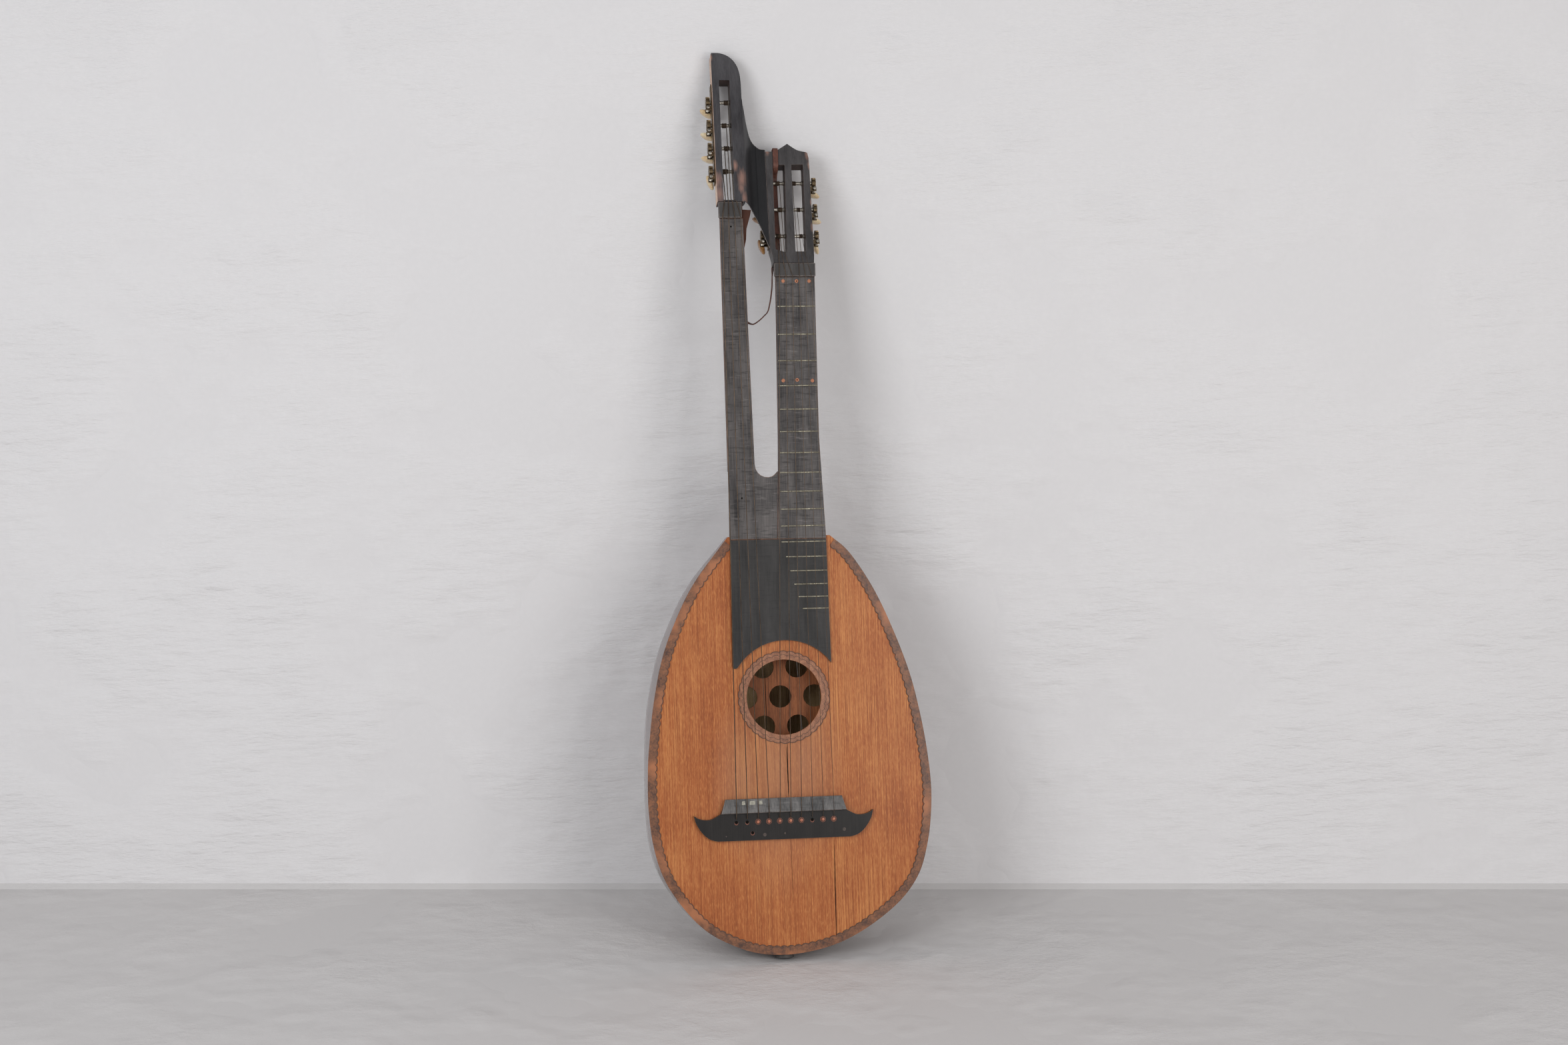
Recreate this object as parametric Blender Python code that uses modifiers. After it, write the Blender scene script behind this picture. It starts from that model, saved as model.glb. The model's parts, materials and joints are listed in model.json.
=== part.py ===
"""A swedish lute: a pear-shaped bowl of ribs, two necks with a fork between them and ten tuning machines.

The lute is drawn upright. In its own frame X is to the right, Y goes back from the soundboard's face,
Z is up, and the sound hole's centre is the zero. The empty called lute then lifts all of it, so that
the middle of the tail foot's flat underside is the world's origin.
"""

import math

import bmesh
import bpy
import numpy as np
from mathutils import Vector

MM = 0.001

# Gaps
CLEAR = 0.3 * MM  # between pieces that touch
RUNNING = 0.4 * MM  # round a shaft in its hole

# Strings
STRING_LENGTH = 618 * MM  # open string, from the fretted nut to the saddle
SADDLE_Z = -130 * MM  # the ridge that the strings cross, from the hole's centre
FRETTED_NUT_Z = SADDLE_Z + STRING_LENGTH  # front edge of the fretted nut
FRETTED_NUT_WIDTH = 15.8 * MM
BASS_NUT_STEP = 69 * MM  # from the fretted nut up to the bass nut
BASS_NUT_Z = FRETTED_NUT_Z + BASS_NUT_STEP
BASS_NUT_WIDTH = 18.8 * MM
NUT_HEIGHT = 5.2 * MM  # nut top in front of the soundboard's face
SADDLE_HEIGHT = 9.0 * MM
BASS_STRING_RADII = [0.65 * MM, 0.6 * MM, 0.55 * MM, 0.5 * MM]
FRETTED_STRING_RADII = [0.48 * MM, 0.45 * MM, 0.4 * MM, 0.35 * MM, 0.32 * MM, 0.3 * MM]
BASS_NUT_EDGES = (-61.4 * MM, -34.2 * MM)
FRETTED_NUT_EDGES = (1.9 * MM, 50.3 * MM)
BASS_AT_NUT = [x * MM for x in (-57.0, -50.0, -42.8, -35.8)]
FRETTED_AT_NUT = [x * MM for x in (7.6, 15.3, 23.0, 31.1, 38.3, 45.2)]
BASS_IN_SLOT = [x * MM for x in (-53.0, -49.8, -46.4, -43.2)]
FRETTED_IN_SLOT = [x * MM for x in (8.0, 11.4, 14.8, 30.4, 34.4, 38.6)]

# Body
TOP_THICKNESS = 2.5 * MM
BODY_DEPTH = 122 * MM  # deepest point of the bowl, from the soundboard's face
HEEL_DEPTH = 37 * MM  # depth of the bowl where the necks join it
BODY_TOP_Z = 186 * MM
DEEPEST_LOW_Z = -108 * MM  # the bowl is equally deep between these two heights
DEEPEST_HIGH_Z = -52 * MM
BODY_RIGHT = [  # half of the outline, from the neck down
    (58.6, 186), (81.4, 165), (108.4, 122.6), (130.5, 73.2), (147.9, 24), (158.3, -20.4),
    (165.4, -63), (169.2, -105), (168, -141), (162.9, -174), (152, -208), (130.3, -237),
    (96.6, -263), (61, -281.5), (25.9, -291), (-9, -294),
]
BODY_LEFT = [  # the other half, from the tail up
    (-43.5, -289.5), (-77.7, -275.4), (-102.4, -258.4), (-126.9, -230), (-144.4, -200),
    (-154.9, -163.3), (-159.2, -122.4), (-159, -81.5), (-156.7, -51.3), (-151, -5.9),
    (-140.6, 44), (-125.8, 84.8), (-101.5, 132.4), (-60.6, 186),
]
RIBS = 7
RIB_THICKNESS = 2.0 * MM
RIB_ROWS = 18  # facets along a rib
RIB_COLUMNS = 3  # facets across a rib
BOWL_POWER = 4.0  # squareness of the bowl's section
BOWL_BULGE = 0.018  # how far the sides swell past the rim
TAIL_POWER = 2.4  # roundness of the bowl's tail, seen from the side
BAND_WIDTH = 10.5 * MM
TRIM_THICKNESS = 0.8 * MM
NECK_BLOCK_LENGTH = 34 * MM
TAIL_BLOCK_LENGTH = 20 * MM
FOOT_HALF_WIDTH = 11 * MM
FOOT_HALF_DEPTH = 7.6 * MM
FOOT_HEIGHT = 4.2 * MM
FOOT_Y = 10 * MM
BOSS_HALF_WIDTH = 5.5 * MM
BOSS_HALF_DEPTH = 3.8 * MM

# Sound hole
HOLE_RADIUS = 43.4 * MM
ROSETTE_RADIUS = 53.6 * MM
BAR_HEIGHT = 28 * MM
BAR_WIDTH = 8 * MM
BAR_Z = 62 * MM  # from the hole's centre to the middle of each bar
SIEVE_WIDTH = 150 * MM
SIEVE_THICKNESS = 3 * MM
SIEVE_HOLE_RADIUS = 13.2 * MM
SIEVE_PITCH = 40 * MM
SIEVE_FIRST_ANGLE = 0  # direction of the first hole of the ring, in degrees

# Fingerboards, whose face stands BOARD_FACE in front of the soundboard's face
BOARD_FACE = 3.0 * MM
BOARD_SEAM_Z = SADDLE_Z + STRING_LENGTH / 2 + 3.5 * MM  # just above the twelfth fret
FRET_HEIGHT = 1.0 * MM
FRET_WIDTH = 1.6 * MM
FRETTED_LEFT = [(-2.2, 182), (0.9, 270), (3.7, 488)]  # edges: x and height, in millimetres
FRETTED_RIGHT = [(54.2, 182), (49.3, 300), (49.4, 488)]
BASS_LEFT = [(-57.9, 182), (-58.2, 330), (-60.1, 557)]
BASS_RIGHT = [(-26.9, 265), (-31.0, 460), (-32.9, 557)]
FRET_LEFT = [(1.3, 182), (4.9, 488)]
FORK_RADIUS = 14.5 * MM
FORK_X = -12.3 * MM
FORK_Z = 268.8 * MM
ARC_RADIUS = 66 * MM  # the board's end round the rosette
ARC_X = 2.5 * MM
ARC_Z = -0.5 * MM
BOARD_TIP_X = 56 * MM
LEG_X = -55.8 * MM
LEG_RADIUS = 3.1 * MM
LEG_Z = 37 * MM
SEAM_FRET = 12  # first fret on the body's board
LAST_FRET = 17
SHORT_FRET_START = 6.2 * MM  # left end of the first shortened fret
SHORT_FRET_STEP = 4.5 * MM

# Necks
FRETTED_NECK_DEPTH = 19.5 * MM
BASS_NECK_DEPTH = 18.5 * MM
NECK_MID_DEPTH = 23.5 * MM
NECK_HEEL_DEPTH = 34 * MM
NECK_POWER = 2.7
BASS_NECK_FLARE = [(-36, 0), (-25, 2.9), (-12, 4.0), (3, 8.6), (10, 10.2)]  # from the nut, added width

# Heads, in their own frames: X right, Y back from the face, Z along the face from the nut
HEAD_TILT = math.radians(10)
HEAD_THICKNESS = 18 * MM
BASS_OUTLINE = [
    (-62, 0.4), (-62.1, 187), (-49.3, 186.4), (-38.5, 180.6), (-31, 169.5), (-28, 155),
    (-28, 4), (-31.8, 0.4),
]
FRETTED_OUTLINE = [
    (1.5, 0.4), (1.3, 7), (-1.2, 18), (-1.2, 138.8), (8.9, 138.8), (13.2, 140.8), (18.7, 144.3),
    (25.1, 148.7), (30.5, 144.6), (36.3, 140.9), (41.4, 139.5), (46.5, 138.4), (48.5, 137.4),
    (49.9, 131), (49.9, 10), (49.3, 0.4),
]
BASS_SLOT = [(-54.6, 2.4), (-53.8, 152.4), (-41.4, 152.4), (-41.3, 2.4)]
LEFT_SLOT = [(4.8, 17), (6.5, 122.1), (20.8, 122.1), (18.2, 12.9)]
RIGHT_SLOT = [(28.2, 14.3), (28.7, 122.5), (42.6, 122.5), (41.0, 14.3)]

# The wing that runs from the bass head back to the fretted head, in heights above the fretted nut
WING_TOP = [(-34, 212), (-28, 212), (-25.6, 202), (-23.4, 186), (-18.6, 168.5), (-10, 157), (-1.5, 155)]
WING_FOOT = [(-34, 90), (-29.7, 88.5), (-21.8, 80.8), (-14, 66), (-7.5, 48), (-1.5, 32)]
WING_THICKNESS = 2.5 * MM
WING_START_X = -28 * MM
WING_LEVEL_X = -12 * MM
WING_HOLLOW = 5 * MM

# Tuning machines
COG_TEETH = 14
COG_RADIUS = 6.8 * MM
COG_ROOT_RADIUS = 5.6 * MM
COG_THICKNESS = 4.5 * MM
TOOTH_TIP_WIDTH = 0.75 * MM
TOOTH_ROOT_WIDTH = 1.4 * MM
WORM_RADIUS = 2.5 * MM
WORM_ROOT_RADIUS = 1.5 * MM
WORM_GAP = 8.6 * MM  # between the worm's axis and the cog's
THREAD_TURNS = 2
JOURNAL_RADIUS = 1.2 * MM
BUTTON_HALF_WIDTH = 9.5 * MM
BUTTON_HALF_THICKNESS = 3 * MM
BUTTON_LENGTH = 12.5 * MM
BUTTON_GAP = 1.2 * MM  # between the head's back and the button
ROLLER_AXIS_DEPTH = 12.4 * MM  # behind the head's face
ROLLER_RADIUS = 3.0 * MM
ROLLER_SHAFT_RADIUS = 2.5 * MM
ROLLER_PIN_RADIUS = 2.0 * MM
ROLLER_PIN_LENGTH = 2.6 * MM
PLATE_THICKNESS = 1.0 * MM
LUG_THICKNESS = 1.4 * MM
LUG_HALF_WIDTH = 2.6 * MM
MACHINES = [  # side is -1 where the cogs are to the left of the head
    {"name": "bass", "head": "bass", "side": -1, "slot": BASS_SLOT, "edge": -62.1 * MM,
     "first": 42.2 * MM, "pitch": 28.9 * MM, "count": 4, "stand_off": 3.7 * MM},
    {"name": "left", "head": "fretted", "side": -1, "slot": LEFT_SLOT, "edge": -1.2 * MM,
     "first": 37.5 * MM, "pitch": 33 * MM, "count": 3, "stand_off": 5.8 * MM},
    {"name": "right", "head": "fretted", "side": 1, "slot": RIGHT_SLOT, "edge": 49.9 * MM,
     "first": 37.5 * MM, "pitch": 33 * MM, "count": 3, "stand_off": 4.5 * MM},
]
PLATE_TOP_MARGIN = 21 * MM  # plate beyond its last cog
PLATE_FOOT_MARGIN = 7.5 * MM  # plate beyond its first worm

# Bridge
BRIDGE_X = -4.3 * MM
BRIDGE_THICKNESS = 4.8 * MM
BRIDGE_EDGE = [  # right half, from the saddle's top corner round to the middle of the lower edge
    (66.5, -115.4), (73, -131.2), (79, -134.5), (84, -136.8), (89, -137.3), (95, -136.6),
    (100, -134.6), (103.8, -132), (102, -139.5), (98, -147.5), (92, -155), (85, -160),
    (77, -162.2),
]
SADDLE_HALF_WIDTH = 72.6 * MM
SADDLE_TOP_HALF_WIDTH = 67.6 * MM
SADDLE_TOP_Z = -114.6 * MM
SADDLE_FRONT_HEIGHT = 6.2 * MM
RIDGE_HALF_WIDTH = 0.7 * MM
PIN_PITCH = 12.54 * MM
PIN_FIRST_X = -59.6 * MM
PIN_Z = -141.2 * MM
PIN_RADIUS = 2.6 * MM
PIN_HEIGHT = 1.2 * MM
PINS_PRESENT = [3, 4, 5, 6, 7, 9, 10]  # holes 1, 2 and 8 have lost their pins

# Strap
STRAP_WIDTH = 6.4 * MM
STRAP_THICKNESS = 1.4 * MM

# Places that follow from the sizes above
FRETTED_HEAD_Z = FRETTED_NUT_Z + FRETTED_NUT_WIDTH + CLEAR
BASS_HEAD_Z = BASS_NUT_Z + BASS_NUT_WIDTH + CLEAR
RIM_Y = TOP_THICKNESS + CLEAR
TAIL_Z = BODY_RIGHT[-1][1] * MM
RIB_END_Z = TAIL_Z + 0.6 * MM
FOOT_TOP_Z = TAIL_Z - CLEAR
SIEVE_Y = RIM_Y + BAR_HEIGHT + CLEAR
THREAD_PITCH = math.tau * (COG_RADIUS - 0.35 * MM) / COG_TEETH

COLOURS = {  # base colour, roughness, metallic
    "spruce": ((0.43, 0.15, 0.051), 0.55, 0.0),
    "dark_band": ((0.168, 0.084, 0.055), 0.6, 0.0),
    "rosette": ((0.30, 0.13, 0.08), 0.6, 0.0),
    "sieve_wood": ((0.30, 0.10, 0.035), 0.6, 0.0),
    "rib_wood": ((0.075, 0.038, 0.026), 0.3, 0.0),
    "inner_wood": ((0.40, 0.26, 0.14), 0.7, 0.0),
    "neck_wood": ((0.07, 0.026, 0.019), 0.45, 0.0),
    "fingerboard": ((0.09, 0.084, 0.08), 0.5, 0.0),
    "black_wood": ((0.065, 0.065, 0.068), 0.5, 0.0),
    "bridge": ((0.026, 0.023, 0.023), 0.4, 0.0),
    "saddle": ((0.08, 0.085, 0.085), 0.3, 0.0),
    "brass": ((0.30, 0.19, 0.08), 0.4, 1.0),
    "string": ((0.35, 0.31, 0.25), 0.35, 0.6),
    "leather": ((0.09, 0.037, 0.026), 0.65, 0.0),
}


def clear_scene():
    for obj in list(bpy.data.objects):
        bpy.data.objects.remove(obj, do_unlink=True)


def new_collection(name):
    made = bpy.data.collections.new(name)
    bpy.context.scene.collection.children.link(made)
    return made


def new_material(name):
    colour, roughness, metallic = COLOURS[name]
    made = bpy.data.materials.new(name)
    made.use_nodes = True
    shader = made.node_tree.nodes["Principled BSDF"]
    shader.inputs["Base Color"].default_value = (*colour, 1)
    shader.inputs["Roughness"].default_value = roughness
    shader.inputs["Metallic"].default_value = metallic
    made.diffuse_color = (*colour, 1)
    return made


clear_scene()
PARTS = new_collection("swedish_lute")
CUTTERS = new_collection("cutters")
MATERIALS = {name: new_material(name) for name in COLOURS}


def new_frame(name, location, turn_x=0.0, parent=None):
    """An empty that other pieces are placed from."""
    made = bpy.data.objects.new(name, None)
    made.location = location
    made.rotation_euler = (turn_x, 0, 0)
    made.parent = parent
    PARTS.objects.link(made)
    return made


def new_piece(name, mesh, finish, parent, location=(0, 0, 0)):
    """One sub-part of the lute, from its mesh."""
    made = bpy.data.objects.new(name, mesh)
    mesh.materials.clear()
    mesh.materials.append(MATERIALS[finish])
    made.location = location
    made.parent = parent
    PARTS.objects.link(made)
    return made


def new_cutter(name, mesh, parent, location=(0, 0, 0)):
    """A helper shape for a Boolean, which is no part of the lute."""
    made = bpy.data.objects.new(name, mesh)
    made.location = location
    made.parent = parent
    made.hide_render = True
    made.display_type = "WIRE"
    CUTTERS.objects.link(made)
    return made


def boolean(piece, cutter, operation):
    step = piece.modifiers.new(operation.title(), "BOOLEAN")
    step.operation = operation
    step.solver = "EXACT"
    step.object = cutter
    return piece


def finished(bm, name, smooth=0.0):
    """The bmesh as a mesh with its faces pointing out."""
    bmesh.ops.remove_doubles(bm, verts=bm.verts, dist=1e-7)
    bmesh.ops.recalc_face_normals(bm, faces=bm.faces)
    mesh = bpy.data.meshes.new(name)
    bm.to_mesh(mesh)
    bm.free()
    if smooth:
        mesh.shade_smooth()
        mesh.set_sharp_from_angle(angle=math.radians(smooth))
    return mesh


def flat_mesh(name, loops, front, back):
    """A flat outline with holes, drawn as a filled curve in X and Z, from Y = front to Y = back."""
    curve = bpy.data.curves.new(name, "CURVE")
    curve.dimensions = "2D"
    curve.fill_mode = "BOTH"
    curve.extrude = (back - front) / 2
    for loop in loops:
        spline = curve.splines.new("POLY")
        spline.points.add(len(loop) - 1)
        for point, (x, z) in zip(spline.points, loop):
            point.co = (x, z, 0, 1)
        spline.use_cyclic_u = True
    drawn = bpy.data.objects.new(name, curve)
    drawn.rotation_euler = (math.pi / 2, 0, 0)
    drawn.location = (0, (front + back) / 2, 0)
    CUTTERS.objects.link(drawn)
    bpy.context.view_layer.update()
    seen = drawn.evaluated_get(bpy.context.evaluated_depsgraph_get())
    bm = bmesh.new()
    bm.from_mesh(bpy.data.meshes.new_from_object(seen))
    bmesh.ops.transform(bm, matrix=drawn.matrix_world, verts=bm.verts)
    bpy.data.objects.remove(drawn, do_unlink=True)
    return finished(bm, name)


def loft_mesh(name, rings, smooth=0.0):
    """A closed solid through rings with the same number of points."""
    bm = bmesh.new()
    rows = [[bm.verts.new(point) for point in ring] for ring in rings]
    for low, high in zip(rows, rows[1:]):
        for i, vert in enumerate(low):
            after = (i + 1) % len(low)
            bm.faces.new((vert, low[after], high[after], high[i]))
    bm.faces.new(rows[0])
    bm.faces.new(rows[-1])
    return finished(bm, name, smooth)


def add_box(bm, low, high):
    made = bmesh.ops.create_cube(bm, size=1)["verts"]
    middle = (Vector(low) + Vector(high)) / 2
    size = Vector(high) - Vector(low)
    bmesh.ops.scale(bm, vec=size, verts=made)
    bmesh.ops.translate(bm, vec=middle, verts=made)


def add_rod(bm, start, end, radius, sides=10):
    """A cylinder from start to end, where the two differ along one axis only."""
    along = Vector(end) - Vector(start)
    turn = Vector((0, 0, 1)).rotation_difference(along).to_matrix().to_4x4()
    made = bmesh.ops.create_cone(
        bm, cap_ends=True, segments=sides, radius1=radius, radius2=radius, depth=along.length
    )["verts"]
    bmesh.ops.transform(bm, matrix=turn, verts=made)
    bmesh.ops.translate(bm, vec=(Vector(start) + Vector(end)) / 2, verts=made)


def box_mesh(name, low, high):
    bm = bmesh.new()
    add_box(bm, low, high)
    return finished(bm, name)


def millimetres(points):
    return [(x * MM, z * MM) for x, z in points]


def on_line(line, z):
    """The x of an edge at height z, from its x at two or more rising heights."""
    points = millimetres(line)
    return float(np.interp(z, [p[1] for p in points], [p[0] for p in points]))


def along_line(line, low, high, shift=0.0):
    """The points of an edge between two heights, all moved in x by the shift."""
    heights = [low] + [z for _, z in millimetres(line) if low < z < high] + [high]
    return [(on_line(line, z) + shift, z) for z in heights]


def smooth_through(points, steps):
    """Points along a smooth curve through the given ones, with steps points for each span."""
    ends = [2 * np.array(points[0]) - points[1], 2 * np.array(points[-1]) - points[-2]]
    path = np.array([ends[0], *points, ends[1]], float)
    made = []
    for a, b, c, d in zip(path, path[1:], path[2:], path[3:]):
        for t in np.arange(steps) / steps:
            curve = 2 * b + (c - a) * t + (2 * a - 5 * b + 4 * c - d) * t**2
            made.append((curve + (3 * b - a - 3 * c + d) * t**3) / 2)
    made.append(np.array(points[-1], float))
    return made


def circle(x, z, radius, count, first=0.0, turn=360.0):
    """Points on a circle, or on an arc of turn degrees with both its ends."""
    share = count if abs(turn) == 360 else count - 1
    angles = [math.radians(first + turn * i / share) for i in range(count)]
    return [(x + radius * math.cos(a), z + radius * math.sin(a)) for a in angles]


def half_of(outline, side, steps=12):
    """One half of the body's outline as rising heights and their x, for looking up."""
    points = smooth_through(millimetres(outline), steps)
    lowest = min(range(len(points)), key=lambda i: points[i][1])
    half = points[: lowest + 1][::-1] if side > 0 else points[lowest:]
    return np.array([p[1] for p in half]), np.array([p[0] for p in half])


OUTLINE = BODY_RIGHT + BODY_LEFT
RIGHT_HALF = half_of(OUTLINE, 1)
LEFT_HALF = half_of(OUTLINE, -1)


def body_width(z):
    """The middle and the half width of the body at height z."""
    right = np.interp(z, *RIGHT_HALF)
    left = np.interp(z, *LEFT_HALF)
    return (left + right) / 2, (right - left) / 2


def body_depth(z):
    if z < DEEPEST_LOW_Z:
        share = min(1, (DEEPEST_LOW_Z - z) / (DEEPEST_LOW_Z - TAIL_Z))
        return BODY_DEPTH * (1 - share**TAIL_POWER) ** (1 / TAIL_POWER)
    share = max(0, z - DEEPEST_HIGH_Z) / (BODY_TOP_Z - DEEPEST_HIGH_Z)
    return HEEL_DEPTH + (BODY_DEPTH - HEEL_DEPTH) * math.cos(share * math.pi / 2)


def bowl_angles():
    """The angle round the widest section at each share of its length, so that ribs are equally wide."""
    angles = np.linspace(0, math.pi, 1441)
    power = 2 / BOWL_POWER
    half = body_width(DEEPEST_LOW_Z)[1]
    x = half * np.sign(np.cos(angles)) * np.abs(np.cos(angles)) ** power
    y = (BODY_DEPTH - RIM_Y) * np.sin(angles) ** power
    length = np.concatenate([[0], np.cumsum(np.hypot(np.diff(x), np.diff(y)))])
    return length / length[-1], angles


BOWL_SHARES, BOWL_ANGLES = bowl_angles()


def bowl_point(z, share):
    """A point of the bowl's outside at height z, from the right rim at share 0 to the left rim at 1."""
    angle = np.interp(share, BOWL_SHARES, BOWL_ANGLES)
    middle, half = body_width(z)
    power = 2 / BOWL_POWER
    back = abs(math.sin(angle)) ** power
    side = math.copysign(abs(math.cos(angle)) ** power, math.cos(angle))
    swell = 1 + BOWL_BULGE * math.sin(math.pi * back)
    depth = max(body_depth(z) - RIM_Y, 0.5 * MM)
    return Vector((middle + half * side * swell, RIM_Y + depth * back, z))


def bowl_inside(z, share, inset):
    """The point this far in from the bowl's outside, square to it."""
    step = 0.1 * MM
    low, high = max(share - 0.004, 0), min(share + 0.004, 1)
    along = bowl_point(z + step, share) - bowl_point(z, share)
    across = bowl_point(z, high) - bowl_point(z, low)
    out = along.cross(across).normalized()
    point = bowl_point(z, share)
    middle = Vector((body_width(z)[0], RIM_Y, z + inset))
    if out.dot(point - middle) < 0:
        out = -out
    inner = point - out * inset
    return Vector((inner.x, max(inner.y, RIM_Y), inner.z))


def rib_heights():
    """Heights from the top of the bowl down, closest together at both ends."""
    shares = [(1 - math.cos(math.pi * row / RIB_ROWS)) / 2 for row in range(RIB_ROWS + 1)]
    return [BODY_TOP_Z - (BODY_TOP_Z - RIB_END_Z) * share for share in shares]


def rib_mesh(index):
    """A thin stave of the bowl, between two of its meridians."""
    rings = []
    for z in rib_heights():
        girth = 2 * (body_width(z)[1] + body_depth(z))
        gap = min(CLEAR / 2 / girth, 0.2 / RIBS)
        first, last = index / RIBS + gap, (index + 1) / RIBS - gap
        if index == 0:
            first = 0
        if index == RIBS - 1:
            last = 1
        shares = np.linspace(first, last, RIB_COLUMNS + 1)
        outside = [bowl_point(z, share) for share in shares]
        inside = [bowl_inside(z, share, RIB_THICKNESS) for share in shares]
        rings.append(outside + inside[::-1])
    return loft_mesh(f"rib_{index + 1}", rings, smooth=30)


def block_mesh(name, heights, inset):
    """A solid block that fills the bowl between the given heights."""
    shares = np.linspace(0, 1, RIBS * RIB_COLUMNS + 1)
    return loft_mesh(name, [[bowl_inside(z, s, inset) for s in shares] for z in heights])


def top_outline(steps=2):
    return [tuple(p) for p in smooth_through(millimetres(OUTLINE), steps)]


def board_loop():
    """The outline of the board over the soundboard, with its arc and its rounded leg."""
    tip_angle = math.degrees(math.acos((BOARD_TIP_X - ARC_X) / ARC_RADIUS))
    leg_inner = LEG_X + LEG_RADIUS
    leg_angle = math.degrees(math.acos((leg_inner - ARC_X) / ARC_RADIUS))
    top = BOARD_SEAM_Z - CLEAR / 2
    corners = [(on_line(BASS_LEFT, top), top), (on_line(FRETTED_RIGHT, top), top)]
    arc = circle(ARC_X, ARC_Z, ARC_RADIUS, 15, tip_angle, leg_angle - tip_angle)
    leg = circle(LEG_X, LEG_Z, LEG_RADIUS, 6, 0, -180)
    return corners + arc + leg[1:]


def board_side(side, z):
    """The x of the body board's outer edge, on the right or on the left."""
    top = BOARD_SEAM_Z
    if side > 0:
        tip_z = ARC_Z + math.sqrt(ARC_RADIUS**2 - (BOARD_TIP_X - ARC_X) ** 2)
        x = on_line(FRETTED_RIGHT, top)
        return x + (BOARD_TIP_X - x) * (top - z) / (top - tip_z)
    x = on_line(BASS_LEFT, top)
    return x + (LEG_X - LEG_RADIUS - x) * (top - z) / (top - LEG_Z)


def band_loop():
    """The edge band's outline: along the rim, and back along its inner edge."""
    rim = top_outline(3)
    outer, inner = [], []
    for before, point, after in zip(rim, rim[1:], rim[2:]):
        along = Vector((after[0] - before[0], after[1] - before[1])).normalized()
        x = point[0] + along.y * BAND_WIDTH
        z = point[1] - along.x * BAND_WIDTH
        if z > LEG_Z and point[0] > 0:
            x = max(x, board_side(1, z) + CLEAR)
        if z > LEG_Z and point[0] < 0:
            x = min(x, board_side(-1, z) - CLEAR)
        if abs(point[0]) - abs(x) < 1.5 * MM and point[1] > LEG_Z:
            continue
        outer.append((point[0], point[1]))
        inner.append((x, z))
    return outer + inner[::-1]


def neck_ring(left, right, depth, z, tilt=0.0):
    """A neck's section: flat in front and round behind. A tilted one leans with its head."""
    middle, half = (left + right) / 2, (right - left) / 2
    ring = [(left, 0.0), (right, 0.0)]
    for i in range(1, 10):
        angle = math.pi * i / 10
        side = math.copysign(abs(math.cos(angle)) ** (2 / NECK_POWER), math.cos(angle))
        ring.append((middle + half * side, depth * math.sin(angle) ** (2 / NECK_POWER)))
    return [Vector((x, y, z - (y + BOARD_FACE) * math.tan(tilt))) for x, y in ring]


def fretted_neck_mesh():
    foot = BODY_TOP_Z + CLEAR
    top = FRETTED_HEAD_Z - CLEAR
    rows = [(foot, NECK_HEEL_DEPTH), (foot + 14 * MM, NECK_HEEL_DEPTH * 0.84),
            (foot + 32 * MM, NECK_MID_DEPTH + 2 * MM), (foot + 58 * MM, NECK_MID_DEPTH),
            (foot + 114 * MM, NECK_MID_DEPTH - MM)]
    rings = []
    for z, depth in rows:
        left, right = on_line(FRETTED_LEFT, z) + CLEAR / 2, on_line(FRETTED_RIGHT, z)
        rings.append(neck_ring(left, right, depth, z))
    left, right = on_line(FRETTED_LEFT, top), on_line(FRETTED_RIGHT, top)
    rings.append(neck_ring(left, right, FRETTED_NECK_DEPTH, top, HEAD_TILT))
    return loft_mesh("fretted_neck", rings, smooth=40)


def bass_neck_mesh():
    """The bass neck: wide below the fork, where it meets the other neck, and flared under its head."""
    foot = BODY_TOP_Z + CLEAR
    seam_x = on_line(FRETTED_LEFT, FORK_Z - FORK_RADIUS / 2) - CLEAR / 2
    fork_top = FORK_Z - math.sqrt(FORK_RADIUS**2 - (seam_x - FORK_X) ** 2)
    top = BASS_HEAD_Z - CLEAR
    rows = [(foot, NECK_HEEL_DEPTH), (foot + 14 * MM, NECK_HEEL_DEPTH * 0.84),
            (foot + 32 * MM, NECK_MID_DEPTH + 2 * MM), (fork_top, NECK_MID_DEPTH)]
    rings = []
    for z, depth in rows:
        left, right = on_line(BASS_LEFT, z), on_line(FRETTED_LEFT, z) - CLEAR / 2
        rings.append(neck_ring(left, right, depth, z))
    narrow = [(fork_top + 0.4 * MM, FORK_X - 0.8 * FORK_RADIUS),
              (FORK_Z, on_line(BASS_RIGHT, FORK_Z))]
    for height, width in BASS_NECK_FLARE:
        z = BASS_NUT_Z + height * MM
        narrow.append((z, on_line(BASS_RIGHT, z) + width * MM))
    end = narrow[-1][0] + 0.6 * MM
    narrow.append((end, on_line(BASS_RIGHT, end)))
    for z, right in narrow:
        share = (z - FORK_Z) / (top - FORK_Z)
        depth = NECK_MID_DEPTH + (BASS_NECK_DEPTH - NECK_MID_DEPTH) * share
        rings.append(neck_ring(on_line(BASS_LEFT, z), right, depth, z))
    left, right = on_line(BASS_LEFT, top), on_line(BASS_RIGHT, top)
    rings.append(neck_ring(left, right, BASS_NECK_DEPTH, top, HEAD_TILT))
    return loft_mesh("bass_neck", rings, smooth=40)


def fret_z(number):
    return SADDLE_Z + STRING_LENGTH * 2 ** (-number / 12)


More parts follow.
